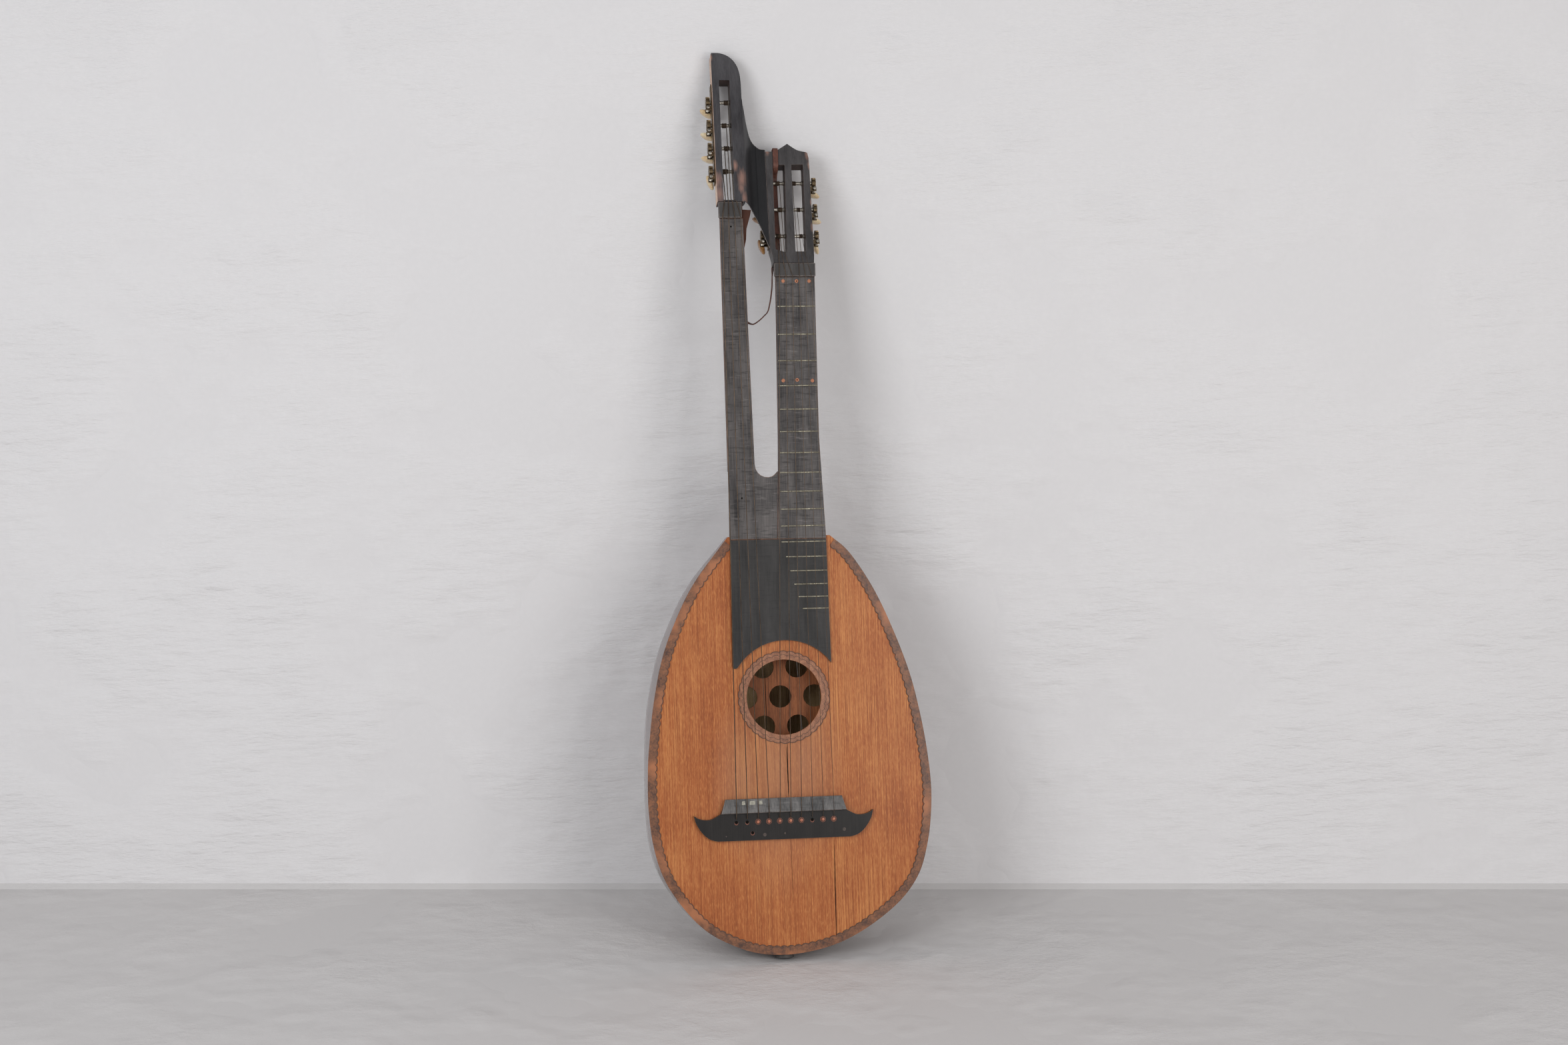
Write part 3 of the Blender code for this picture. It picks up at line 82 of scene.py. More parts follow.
def at(x, y, z):
    """A place in the lute's millimetres, in metres."""
    return (HOLE_CENTRE + Vector((x, y, z))) * MM


def on_head(x, y, z, head_z):
    """A place on a head: x across, y back from its face, z along it from the nut."""
    cos, sin = math.cos(HEAD_TILT), math.sin(HEAD_TILT)
    return at(x, -BOARD_FACE + y * cos + z * sin, head_z - y * sin + z * cos)


print("top of the bass head:", [round(v, 4) for v in on_head(-50, 0, 187, BASS_HEAD_Z)])

# %% [markdown]
# ## Camera
#
# The photograph was taken from a little to the left. The real lute leans back and a little to the
# left, so in its own upright frame the camera stands slightly low and is rolled. A 50 mm lens at two
# and a half metres gives the photograph's perspective.

# %% Camera
CAMERA_TARGET = at(5.7, 0, 201.6)
CAMERA_DISTANCE = 2.522
CAMERA_AZIMUTH = math.radians(-8)
CAMERA_ELEVATION = math.radians(-3)
CAMERA_ROLL = math.radians(1.6)
LENS, SENSOR_WIDTH = 50, 36

level = math.cos(CAMERA_ELEVATION)
camera_back = Vector((math.sin(CAMERA_AZIMUTH) * level, -math.cos(CAMERA_AZIMUTH) * level,
                      math.sin(CAMERA_ELEVATION)))
unrolled_right = Vector((0, 0, 1)).cross(camera_back).normalized()
unrolled_up = camera_back.cross(unrolled_right)
camera_right = unrolled_right * math.cos(CAMERA_ROLL) - unrolled_up * math.sin(CAMERA_ROLL)
camera_up = unrolled_up * math.cos(CAMERA_ROLL) + unrolled_right * math.sin(CAMERA_ROLL)
camera = bpy.data.objects.new("camera", bpy.data.cameras.new("camera"))
camera.data.lens = LENS
camera.data.sensor_width = SENSOR_WIDTH
camera.rotation_mode = "QUATERNION"
camera.rotation_quaternion = Matrix((camera_right, camera_up, camera_back)).transposed().to_quaternion()
camera.location = CAMERA_TARGET + camera_back * CAMERA_DISTANCE
bpy.context.scene.collection.objects.link(camera)
bpy.context.scene.camera = camera
print("camera at", [round(v, 3) for v in camera.location])

# %% [markdown]
# ## Tools for finishes
#
# Every finish is a Principled material. Its colour, gloss and bumps come from textures in the
# object's own metres, so that they stay on the piece when it moves. A few helpers keep the node
# trees short. The first ones add a node, fill its sockets and read a noise stretched along an axis.

# %% Nodes
def new_finish(name, roughness, metallic=0.0, coat=0.0, specular=0.5):
    """A material, its node tree and its shader."""
    made = bpy.data.materials.new(name)
    made.use_nodes = True
    shader = made.node_tree.nodes["Principled BSDF"]
    shader.inputs["Roughness"].default_value = roughness
    shader.inputs["Metallic"].default_value = metallic
    shader.inputs["Coat Weight"].default_value = coat
    shader.inputs["Coat Roughness"].default_value = 0.12
    shader.inputs["Specular IOR Level"].default_value = specular
    return made, made.node_tree, shader


def fill(tree, socket, value):
    """Another node's output, a colour, a vector or a number goes into a socket."""
    if isinstance(value, bpy.types.NodeSocket):
        tree.links.new(value, socket)
    elif socket.type == "RGBA":
        socket.default_value = (*value, 1)
    else:
        socket.default_value = value


def node(tree, kind, **inputs):
    """A node of this kind, with its named inputs filled."""
    made = tree.nodes.new(kind)
    for name, value in inputs.items():
        fill(tree, made.inputs[name.replace("_", " ")], value)
    return made


def place(tree):
    return node(tree, "ShaderNodeTexCoord").outputs["Object"]


def place_x(tree):
    return node(tree, "ShaderNodeSeparateXYZ", Vector=place(tree)).outputs["X"]


def stretched_noise(tree, scale, detail=3.0, roughness=0.55, turn=(0, 0, 0)):
    """Noise that is finer along the axes with the larger scale."""
    mapping = node(tree, "ShaderNodeMapping", Vector=place(tree), Scale=scale, Rotation=turn)
    texture = node(tree, "ShaderNodeTexNoise", Vector=mapping.outputs["Vector"], Scale=1.0,
                   Detail=detail, Roughness=roughness)
    return texture.outputs["Fac"]


def bumped(tree, shader, height, distance, strength=0.5):
    made = node(tree, "ShaderNodeBump", Height=height, Distance=distance, Strength=strength)
    tree.links.new(made.outputs["Normal"], shader.inputs["Normal"])


def coloured(tree, shader, colour):
    tree.links.new(colour, shader.inputs["Base Color"])


print("materials so far:", len(bpy.data.materials))

# %% [markdown]
# The next helpers do sums with values and turn a value into a colour. Colours are written as the eye
# reads them on a screen, and changed to the shader's linear numbers.

# %% Values and colours
def ramp(tree, value, stops, interpolation="LINEAR"):
    """A colour for each value, from (position, colour) stops."""
    made = node(tree, "ShaderNodeValToRGB", Fac=value)
    made.color_ramp.interpolation = interpolation
    elements = made.color_ramp.elements
    while len(elements) < len(stops):
        elements.new(0.5)
    for element, (position, colour) in zip(elements, stops):
        element.position = position
        element.color = (*colour, 1)
    return made.outputs["Color"]


def level_ramp(tree, value, low, high):
    """0 at low, 1 at high, and a straight slope between them."""
    return node(tree, "ShaderNodeMapRange", Value=value, From_Min=low, From_Max=high).outputs["Result"]


MIX_INPUTS, MIX_RESULT = (0, 6, 7), 2  # the share and the two colours, and the mixed colour


def mixed(tree, share, first, second):
    """Two colours mixed by a share from 0 to 1."""
    made = tree.nodes.new("ShaderNodeMix")
    made.data_type = "RGBA"
    for index, value in zip(MIX_INPUTS, (share, first, second)):
        fill(tree, made.inputs[index], value)
    return made.outputs[MIX_RESULT]


def maths(tree, operation, first, second):
    made = tree.nodes.new("ShaderNodeMath")
    made.operation = operation
    fill(tree, made.inputs[0], first)
    fill(tree, made.inputs[1], second)
    return made.outputs["Value"]


def weighed(tree, *terms):
    """The sum of some values, each times its weight."""
    parts = [maths(tree, "MULTIPLY", value, weight) for value, weight in terms]
    total = parts[0]
    for part in parts[1:]:
        total = maths(tree, "ADD", total, part)
    return total


def srgb(red, green, blue):
    """A colour as the eye reads it, 0 to 255, in the shader's linear numbers."""
    def linear(value):
        value /= 255
        return value / 12.92 if value <= 0.04045 else ((value + 0.055) / 1.055) ** 2.4
    return linear(red), linear(green), linear(blue)


print("orange of the soundboard:", [round(v, 3) for v in srgb(173, 98, 50)])

# %% [markdown]
# Hands wear a finish at certain places. This helper gives a value that is 1 at those places and falls
# away from them, more slowly along the grain than across it.

# %% Worn places
WEAR_STRETCH = 0.4


def near_points(tree, points):
    """1 at the given places, falling to 0 at their reach in millimetres, which is longer along z."""
    squeeze = Vector((1, 1, WEAR_STRETCH))
    squeezed = node(tree, "ShaderNodeMapping", Vector=place(tree), Scale=squeeze)
    total = None
    for x, y, z, reach in points:
        gap = tree.nodes.new("ShaderNodeVectorMath")
        gap.operation = "DISTANCE"
        fill(tree, gap.inputs[0], squeezed.outputs["Vector"])
        fill(tree, gap.inputs[1], at(x, y, z) * squeeze)
        share = level_ramp(tree, gap.outputs["Value"], reach * MM, 0)
        total = share if total is None else maths(tree, "MAXIMUM", total, share)
    return total


print("wear reaches", round(1 / WEAR_STRETCH, 1), "times as far along the grain")

# %% [markdown]
# ## The soundboard's wood
#
# The top is old varnished softwood: fine dark lines run straight up it, short pale flecks catch the
# light, and each plank has its own tone. Noise stretched along the grain gives the lines and flecks,
# and a stepped ramp across the width gives the planks. A painted picture would be less work, but it
# would not follow the piece to another size.

# %% Softwood
SOUNDBOARD_LEFT, SOUNDBOARD_WIDTH = at(-160, 0, 0).x, 330 * MM
PLANKS = [(0.0, 0.55), (0.13, 0.35), (0.31, 0.6), (0.49, 0.4), (0.646, 0.7), (0.83, 0.5)]
GRAIN_LINES, GRAIN_BANDS = (1300, 300, 9), (620, 80, 6)
FLECKS, MOTTLE, TONE_CLOUDS = (900, 200, 120), (700, 240, 160), (16, 16, 9)
SPRUCE_RUBBED = [(-8, 0, -84, 62), (20, 0, -76, 50), (-50, 0, -92, 40)]
RUBBED_PALE = srgb(186, 138, 106)


def softwood(name, dark, middle, pale, gloss, fleck, rubbed_places=()):
    made, tree, shader = new_finish(name, gloss, coat=0.05, specular=0.3)
    lines = stretched_noise(tree, GRAIN_LINES, 4.0, 0.6)
    bands = stretched_noise(tree, GRAIN_BANDS)
    flecks = stretched_noise(tree, FLECKS, 2.0, 0.5)
    mottle = maths(tree, "SUBTRACT", stretched_noise(tree, MOTTLE, 3.0, 0.6), 0.5)
    clouds = stretched_noise(tree, TONE_CLOUDS, 4.0, 0.6)
    across = maths(tree, "DIVIDE", maths(tree, "SUBTRACT", place_x(tree), SOUNDBOARD_LEFT), SOUNDBOARD_WIDTH)
    planks = ramp(tree, across, [(position, (tone, tone, tone)) for position, tone in PLANKS], "CONSTANT")
    tone = weighed(tree, (clouds, 0.6), (bands, 0.5), (planks, 0.22), (mottle, 0.42))
    colour = ramp(tree, tone, [(0.42, dark), (0.62, middle), (0.85, pale)])
    colour = mixed(tree, level_ramp(tree, lines, 0.48, 0.66), colour, dark)
    colour = mixed(tree, weighed(tree, (level_ramp(tree, flecks, 0.54, 0.68), fleck)), colour, pale)
    if rubbed_places:
        colour = mixed(tree, weighed(tree, (near_points(tree, rubbed_places), 0.45)), colour, RUBBED_PALE)
    coloured(tree, shader, colour)
    bumped(tree, shader, maths(tree, "ADD", lines, flecks), 0.00012)
    return made


spruce = softwood("spruce", srgb(140, 72, 34), srgb(173, 98, 50), srgb(204, 134, 76), 0.5, 0.6, SPRUCE_RUBBED)
sieve_wood = softwood("sieve_wood", srgb(104, 58, 32), srgb(142, 82, 46), srgb(170, 106, 64), 0.6, 0.25)
inner_wood = softwood("inner_wood", srgb(160, 118, 74), srgb(196, 152, 104), srgb(220, 180, 132), 0.7, 0.2)
# The inside of the bowl is bare wood, paled further as painted light for the light that falls in through the
# holes.
bare_and_lit_wood = softwood("bare_and_lit_wood", srgb(190, 154, 106), srgb(220, 188, 140), srgb(234, 208, 164), 0.8, 0.1)
print("softwoods:", spruce.name, sieve_wood.name, inner_wood.name, bare_and_lit_wood.name)

# %% [markdown]
# ## Dark woods
#
# The necks, heads, fingerboards and bridge are hardwood stained black or red-brown. Fine pores run
# along the grain, and the stain has worn to grey or brown where hands and strings have rubbed it.
# Pale scratches and dark cracks cross the boards. One function serves them all; the worn places are
# points with a reach, and a painted shade can darken a board from one x to another.

# %% Stained wood
PORES, STAIN_CLOUDS, SCRATCHES, RUB_GRAIN = (1200, 700, 22), (60, 60, 14), (55, 200, 520), (700, 300, 70)
SCRATCH_TURN = (0, math.radians(9), 0)
RUBBED, HOLLOW_SHADE = srgb(176, 134, 118), srgb(20, 20, 21)


def stained_wood(name, dark, pale, gloss, worn_places=(), coat=0.05, scratches=0.0, shade_span=None,
                 specular=0.28):
    made, tree, shader = new_finish(name, gloss, coat=coat, specular=specular)
    pores = stretched_noise(tree, PORES, 3.0, 0.6)
    clouds = stretched_noise(tree, STAIN_CLOUDS, 4.0, 0.6)
    colour = ramp(tree, weighed(tree, (clouds, 0.65), (pores, 0.35)), [(0.36, dark), (0.62, pale)])
    height = pores
    if scratches:
        marks = stretched_noise(tree, SCRATCHES, 5.0, 0.62, SCRATCH_TURN)
        lines = weighed(tree, (level_ramp(tree, marks, 0.6, 0.72), scratches))
        cracks = weighed(tree, (level_ramp(tree, marks, 0.44, 0.36), scratches))
        colour = mixed(tree, lines, colour, tuple(min(1, c * 1.8) for c in pale))
        colour = mixed(tree, cracks, colour, tuple(c * 0.25 for c in dark))
        height = weighed(tree, (pores, 0.5), (cracks, -1))
    if worn_places:
        rub = maths(tree, "ADD", stretched_noise(tree, RUB_GRAIN, 5.0, 0.7), near_points(tree, worn_places))
        colour = mixed(tree, weighed(tree, (level_ramp(tree, rub, 0.75, 1.4), 0.62)), colour, RUBBED)
    # A painted shade: the board darkens from one x to another, as a hollow in shade does.
    if shade_span:
        unshaded_x, shaded_x = (at(x, 0, 0).x for x in shade_span)
        share = weighed(tree, (level_ramp(tree, place_x(tree), unshaded_x, shaded_x), 0.85))
        colour = mixed(tree, share, colour, HOLLOW_SHADE)
    coloured(tree, shader, colour)
    bumped(tree, shader, height, 0.00015)
    return made


print("pores are", round(PORES[0] / PORES[2]), "times as long as wide")

# %% Black and red-brown finishes
BASS_HEAD_WEAR = [
    (-31.8, 2, 604, 9), (-33, 1, 592, 6), (-39.3, 5, 620, 5), (-60, 0, 604, 8), (-59.5, -2, 586, 8),
    (-30, -2, 581, 6), (-61.5, 16, 700, 3), (-61.8, 28, 755, 3), (-1, 12, 642.6, 4),
]
FRETTED_HEAD_WEAR = [
    (49.5, 21, 638, 6.5), (50, 18, 624, 4), (50, 4, 548, 4), (50, 10, 578, 3), (0.5, 21.5, 643, 5),
]
black_wood = stained_wood("black_wood", srgb(50, 48, 47), srgb(78, 75, 73), 0.42)
# The bass head and the wing darken from x -33 to -19, a painted shade for the wing's hollow.
bass_head_wood = stained_wood("bass_head_wood", srgb(52, 50, 52), srgb(80, 78, 80), 0.42, BASS_HEAD_WEAR,
                              shade_span=(-33, -19))
fretted_head_wood = stained_wood("fretted_head_wood", srgb(52, 50, 50), srgb(80, 77, 77), 0.42,
                                 FRETTED_HEAD_WEAR)
# The slot walls' wood is darker than the face, a painted shade for the deep slots.
shaded_slot_wood = stained_wood("shaded_slot_wood", srgb(38, 29, 26), srgb(66, 48, 42), 0.5)
fingerboard = stained_wood("fingerboard", srgb(54, 51, 51), srgb(106, 101, 99), 0.42, scratches=0.5)
body_board = stained_wood("body_board", srgb(40, 39, 38), srgb(62, 60, 59), 0.5, scratches=0.2)
neck_wood = stained_wood("neck_wood", srgb(50, 30, 24), srgb(80, 52, 42), 0.6, coat=0, specular=0.12)
bridge_wood = stained_wood("bridge_wood", srgb(20, 17, 16), srgb(36, 32, 30), 0.44)
saddle_strip = stained_wood("saddle_strip", srgb(58, 58, 58), srgb(122, 119, 117), 0.4, scratches=0.35)
print("dark woods:", fingerboard.name, neck_wood.name, bridge_wood.name)

# %% [markdown]
# ## Inlay, bowl and small parts
#
# The band and the ring round the hole are brown veneer gone blotchy. The bowl is dark wood under a
# thick clear varnish: seen nearly edge on it mirrors the pale wall, and only from behind does its
# red-brown show. Brass goes brown in its hollows, and bone is yellow with a soft depth of its own.
# All of these are two colours in blots of two sizes, so one function makes them. Only the dark inside
# holes and cracks is one plain black, a painted shade for their depth.

# %% Blotchy finishes
def blotchy(name, dark, pale, gloss, grain, metallic=0.0, coat=0.0, bump=0.0001):
    made, tree, shader = new_finish(name, gloss, metallic, coat)
    blots = stretched_noise(tree, grain, 5.0, 0.65)
    fine = stretched_noise(tree, tuple(6 * g for g in grain), 3.0, 0.6)
    coloured(tree, shader, ramp(tree, weighed(tree, (blots, 0.6), (fine, 0.4)), [(0.38, dark), (0.62, pale)]))
    bumped(tree, shader, fine, bump)
    return made


def even(fineness):
    """The same fineness along all three axes."""
    return fineness, fineness, fineness


ring_wood = blotchy("ring_wood", srgb(124, 76, 52), srgb(176, 120, 86), 0.5, even(160), coat=0.1)
ink = blotchy("ink", srgb(62, 44, 36), srgb(96, 70, 56), 0.6, even(300))
BOWL_GRAIN, BOWL_BUMP = (120, 120, 12), 0.00004
dark_rib = blotchy("dark_rib", srgb(58, 32, 26), srgb(98, 58, 46), 0.3, BOWL_GRAIN, coat=1, bump=BOWL_BUMP)
pale_rib = blotchy("pale_rib", srgb(84, 48, 37), srgb(128, 80, 60), 0.3, BOWL_GRAIN, coat=1, bump=BOWL_BUMP)
pin_wood = blotchy("pin_wood", srgb(150, 84, 58), srgb(196, 118, 86), 0.45, even(400), coat=0.2)
collar_wood = blotchy("collar_wood", srgb(78, 46, 36), srgb(132, 76, 54), 0.5, even(400))
plug_wood = blotchy("plug_wood", srgb(160, 98, 66), srgb(200, 134, 98), 0.5, even(500))
pale_shim = blotchy("pale_shim", srgb(128, 124, 112), srgb(188, 184, 168), 0.5, even(700))
worn_dot = blotchy("worn_dot", srgb(54, 46, 42), srgb(84, 70, 62), 0.5, even(500))
# The pale grey edge is worn stain and a painted highlight along the edges.
worn_highlit_edge = blotchy("worn_highlit_edge", srgb(66, 61, 60), srgb(132, 121, 115), 0.4, (200, 200, 50))
brown_edge = blotchy("brown_edge", srgb(66, 50, 43), srgb(150, 112, 90), 0.45, (200, 200, 60))
# The pale side of the bass head is worn bare wood and also a painted highlight.
worn_and_highlit_side = blotchy("worn_and_highlit_side", srgb(168, 126, 104), srgb(240, 214, 192), 0.5, (260, 260, 60))
leather = blotchy("leather", srgb(70, 40, 32), srgb(112, 66, 50), 0.55, (350, 350, 120), bump=0.0003)
# Holes and cracks are plain black, a painted shade for their depth.
painted_hole_shade, _, painted_hole_shader = new_finish("painted_hole_shade", 0.8, specular=0.1)
painted_hole_shader.inputs["Base Color"].default_value = (0.006, 0.005, 0.004, 1)
print("finishes:", len(bpy.data.materials))

# %% Metal and bone
brass = blotchy("brass", srgb(66, 57, 45), srgb(150, 130, 102), 0.36, even(500), metallic=1)
fret_brass = blotchy("fret_brass", srgb(118, 110, 94), srgb(192, 186, 166), 0.3, even(300), metallic=0.8)
roller_metal = blotchy("roller_metal", srgb(104, 97, 88), srgb(198, 192, 180), 0.33, even(300), metallic=1)
string_metal = blotchy("string_metal", srgb(54, 43, 36), srgb(110, 92, 74), 0.4, (700, 700, 60), metallic=0.5)
amber = blotchy("amber", srgb(140, 92, 40), srgb(190, 136, 66), 0.25, even(150), coat=0.4)
bone = blotchy("bone", srgb(204, 170, 120), srgb(236, 220, 186), 0.28, even(150), coat=0.3)
bone_shader = bone.node_tree.nodes["Principled BSDF"]
bone_shader.inputs["Subsurface Weight"].default_value = 0.15
bone_shader.inputs["Subsurface Scale"].default_value = 0.003
print("metals:", brass.name, fret_brass.name, roller_metal.name, string_metal.name)

# %% [markdown]
# The band has long orange stretches where its dark stain is gone. A coarse noise says where, and it
# is raised a little towards the left as painted light, because the band's left side is lit.

# %% The edge band's veneer
band_wood = blotchy("band_wood", srgb(74, 47, 35), srgb(144, 92, 58), 0.5, even(80), coat=0.1)
tree = band_wood.node_tree
shader = tree.nodes["Principled BSDF"]
brown = shader.inputs["Base Color"].links[0].from_socket
# More orange towards the left is painted light on the lit side.
painted_light_left = level_ramp(tree, place_x(tree), at(60, 0, 0).x, at(-160, 0, 0).x)
stretches = maths(tree, "ADD", stretched_noise(tree, even(17), 3.0, 0.6), weighed(tree, (painted_light_left, 0.12)))
coloured(tree, shader, mixed(tree, level_ramp(tree, stretches, 0.58, 0.7), brown, srgb(170, 106, 66)))
print("nodes in the band's veneer:", len(tree.nodes))

# %% [markdown]
# ## Making pieces
#
# Two ways of making cover almost everything here. A loft joins rings of points into a closed skin,
# which suits ribs, straps and turned parts. A softened copy takes a solid that is right in shape,
# merges its facets and rounds its corners with a Bevel modifier, as a file and sandpaper would. The
# faces of the Bevel can have a finish of their own. The pale grey one, on the nuts, heads, wing and
# saddle, is wear and a painted highlight along the edges as well.

# %% Pieces and lofts
def new_piece(name, verts, faces, finish, body="instrument", slot=None, replaces=(), sharp=35):
    """A mesh piece that rides on a body, smooth except at edges sharper than the given angle."""
    mesh = bpy.data.meshes.new(name)
    mesh.from_pydata([tuple(v) for v in verts], [], faces)
    bm = bmesh.new()
    bm.from_mesh(mesh)
    bmesh.ops.recalc_face_normals(bm, faces=bm.faces)
    bm.to_mesh(mesh)
    bm.free()
    mesh.shade_smooth()
    mesh.set_sharp_from_angle(angle=math.radians(sharp))
    made = bpy.data.objects.new(name, mesh)
    mesh.materials.append(finish)
    bpy.context.scene.collection.objects.link(made)
    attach(made, body)
    if replaces:
        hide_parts(*replaces)
    return made


def loft(rings, caps=True):
    """The vertices and faces of a skin through closed rings with the same number of points."""
    size = len(rings[0])
    verts = [point for ring in rings for point in ring]
    faces = []
    for row in range(len(rings) - 1):
        for i in range(size):
            j = (i + 1) % size
            faces.append((row * size + i, row * size + j, (row + 1) * size + j, (row + 1) * size + i))
    if caps:
        faces.append(tuple(range(size))[::-1])
        faces.append(tuple(range((len(rings) - 1) * size, len(rings) * size)))
    return verts, faces


def joined(parts):
    """Several (verts, faces) as one."""
    verts, faces = [], []
    for more_verts, more_faces in parts:
        start = len(verts)
        verts += list(more_verts)
        faces += [tuple(start + i for i in face) for face in more_faces]
    return verts, faces


def circle(radius, sides):
    """Pairs of numbers round a circle."""
    angles = [math.tau * i / sides for i in range(sides)]
    return [(radius * math.cos(angle), radius * math.sin(angle)) for angle in angles]


def turned(y, z, head_z, profile, sides=24):
    """A piece turned on a line across a head, through (x, radius) pairs."""
    rings = []
    for x, radius in profile:
        rings.append([on_head(x, y + a, z + b, head_z) for a, b in circle(radius, sides)])
    return loft(rings)


print("a turned rod:", len(turned(0, 0, BASS_HEAD_Z, [(0, 1), (5, 1)])[1]), "faces")

# %% Softened copies
MERGE_DISTANCE = 1e-6
FLAT_WITHIN = math.radians(0.6)


def read_out(bm):
    """The vertices and faces of a bmesh, which is freed."""
    bm.verts.index_update()
    verts = [v.co.copy() for v in bm.verts]
    faces = [tuple(v.index for v in face.verts) for face in bm.faces]
    bm.free()
    return verts, faces


def rounded(piece, width, edge_finish=None):
    """A Bevel on the corners, whose new faces can have a finish of their own."""
    edge = piece.modifiers.new("Bevel", "BEVEL")
    if edge_finish:
        piece.data.materials.append(edge_finish)
        edge.material = len(piece.data.materials) - 1
    edge.width = width * MM
    edge.segments = 2
    edge.limit_method = "ANGLE"
    edge.angle_limit = math.radians(40)
    edge.harden_normals = True
    return piece


def softened(name, solid, finish, slot, width, edge_finish=None, sharp=35, front=None):
    """A copy of a solid with merged facets and rounded corners, cut off level if a front is given."""
    bm = bmesh.new()
    bm.from_mesh(frame["nodes"][solid].data)
    bmesh.ops.remove_doubles(bm, verts=bm.verts, dist=MERGE_DISTANCE)
    if front is not None:
        cut = bmesh.ops.bisect_plane(bm, geom=[*bm.verts, *bm.edges, *bm.faces], plane_co=at(0, front, 0),
                                     plane_no=(0, -1, 0), clear_outer=True)["geom_cut"]
        bmesh.ops.holes_fill(bm, edges=[e for e in cut if isinstance(e, bmesh.types.BMEdge)], sides=0)
    bmesh.ops.dissolve_limit(bm, angle_limit=FLAT_WITHIN, verts=bm.verts, edges=bm.edges)
    body = frame["nodes"][solid]["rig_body"]
    made = new_piece(name, *read_out(bm), finish, body, slot, [solid], sharp)
    return rounded(made, width, edge_finish) if width else made


print("facets within", round(math.degrees(FLAT_WITHIN), 1), "degrees are merged")

# %% [markdown]
# ## Boards, necks and nuts
#
# Most of these are sawn and planed boards with their edges broken, so softened copies of the solids
# do. The fretted boards are cut off level first, because their frets are made of wire further on. A
# few solids are right as they are and only get a finish.

# %% Softened woods and plates
BOARD_LEVEL = -2.97
for name, finish in (("fretted", fingerboard), ("body", body_board)):
    softened(f"{name}_board_planed", f"{name}_fingerboard", finish, "fingerboard", 0.3, brown_edge,
             front=BOARD_LEVEL)
softened("bass_board_planed", "bass_fingerboard", fingerboard, "fingerboard", 0.5, brown_edge)
# The nuts' pale edges are wear and a painted highlight along the top.
for name in ("bass", "fretted"):
    softened(f"{name}_nut_filed", f"{name}_nut", black_wood, "black_wood", 0.9, worn_highlit_edge)
    softened(f"{name}_neck_polished", f"{name}_neck", neck_wood, "neck_wood", 0, sharp=50)
softened("bridge_carved", "bridge", bridge_wood, "bridge", 0.5, brown_edge)
softened("saddle_planed", "saddle", saddle_strip, "saddle", 0.5, worn_highlit_edge)
softened("foot_block", "tail_block", black_wood, "black_wood", 0.5)
for name in ("bass", "left", "right"):
    softened(f"{name}_plate_cut", f"{name}_tuner_plate", brass, "brass", 0.15)

FINISH_OF = {
    "soundboard": spruce, "sieve_board": sieve_wood, "upper_bar": inner_wood, "lower_bar": inner_wood,
    "neck_block": inner_wood,
}
for name, finish in FINISH_OF.items():
    frame["nodes"][name].data.materials.clear()
    frame["nodes"][name].data.materials.append(finish)

# %% [markdown]
# ## The bowl
#
# The bowl is seven bent ribs under one polish. A smooth surface reads the same outline and depth as
# the solid staves, with many more facets, so that the varnish shows one long highlight. A thin dark
# line of glue is left between neighbours. The outline is the rim's, as measured on the soundboard.

# %% The rim
RIM = [
    (58.6, 186), (81.4, 165), (108.4, 122.6), (130.5, 73.2), (147.9, 24), (158.3, -20.4),
    (165.4, -63), (169.2, -105), (168, -141), (162.9, -174), (152, -208), (130.3, -237),
    (96.6, -263), (61, -281.5), (25.9, -291), (-9, -294),
    (-43.5, -289.5), (-77.7, -275.4), (-102.4, -258.4), (-126.9, -230), (-144.4, -200),
    (-154.9, -163.3), (-159.2, -122.4), (-159, -81.5), (-156.7, -51.3), (-151, -5.9),
    (-140.6, 44), (-125.8, 84.8), (-101.5, 132.4), (-60.6, 186),
]


def smooth_through(points, steps):
    """Points along a smooth curve through the given ones, with steps for each span."""
    points = [np.array(p, float) for p in points]
    path = [2 * points[0] - points[1], *points, 2 * points[-1] - points[-2]]
    made = []
    for a, b, c, d in zip(path, path[1:], path[2:], path[3:]):
        for t in np.arange(steps) / steps:
            curve = 2 * b + (c - a) * t + (2 * a - 5 * b + 4 * c - d) * t**2
            made.append((curve + (3 * b - a - 3 * c + d) * t**3) / 2)
    made.append(points[-1])
    return made


def curved(points, steps):
    """The same as plain tuples."""
    return [tuple(p) for p in smooth_through(points, steps)]


def between(line, value):
    """The second number of a line of pairs, where the first is this value."""
    return float(np.interp(value, [p[0] for p in line], [p[1] for p in line]))


rim_curve = curved(RIM, 12)
lowest = min(range(len(rim_curve)), key=lambda i: rim_curve[i][1])
RIGHT_SIDE = [(z, x) for x, z in rim_curve[lowest::-1]]
LEFT_SIDE = [(z, x) for x, z in rim_curve[lowest:]]


def bowl_width(z):
    """The middle and the half width of the body at a height."""
    right, left = between(RIGHT_SIDE, z), between(LEFT_SIDE, z)
    return (left + right) / 2, (right - left) / 2


print("points along the rim:", len(rim_curve))

# %% [markdown]
# Across the bowl its section is a squarish arch, which swells past the rim by a share that changes
# with the height. The ribs are equally wide at the widest place, so their edges are found by the
# girth there.

# %% The bowl's surface
RIM_BACK = 2.8
BOWL_TOP, BOWL_END, TAIL = 186.0, -293.4, -294.0
BOWL_DEPTH, HEEL_DEPTH = 121.99, 37.0
DEEPEST_LOW, DEEPEST_HIGH = -108.0, -52.0
BOWL_POWER, TAIL_POWER = 4.0, 2.4
SWELL = [
    (-294, 0.01), (-240, 0.026), (-180, 0.026), (-150, 0.018), (-122, 0.0102), (-85, 0.0108),
    (-60, 0.018), (-20, 0.03), (60, 0.036), (140, 0.046), (186, 0.02),
]


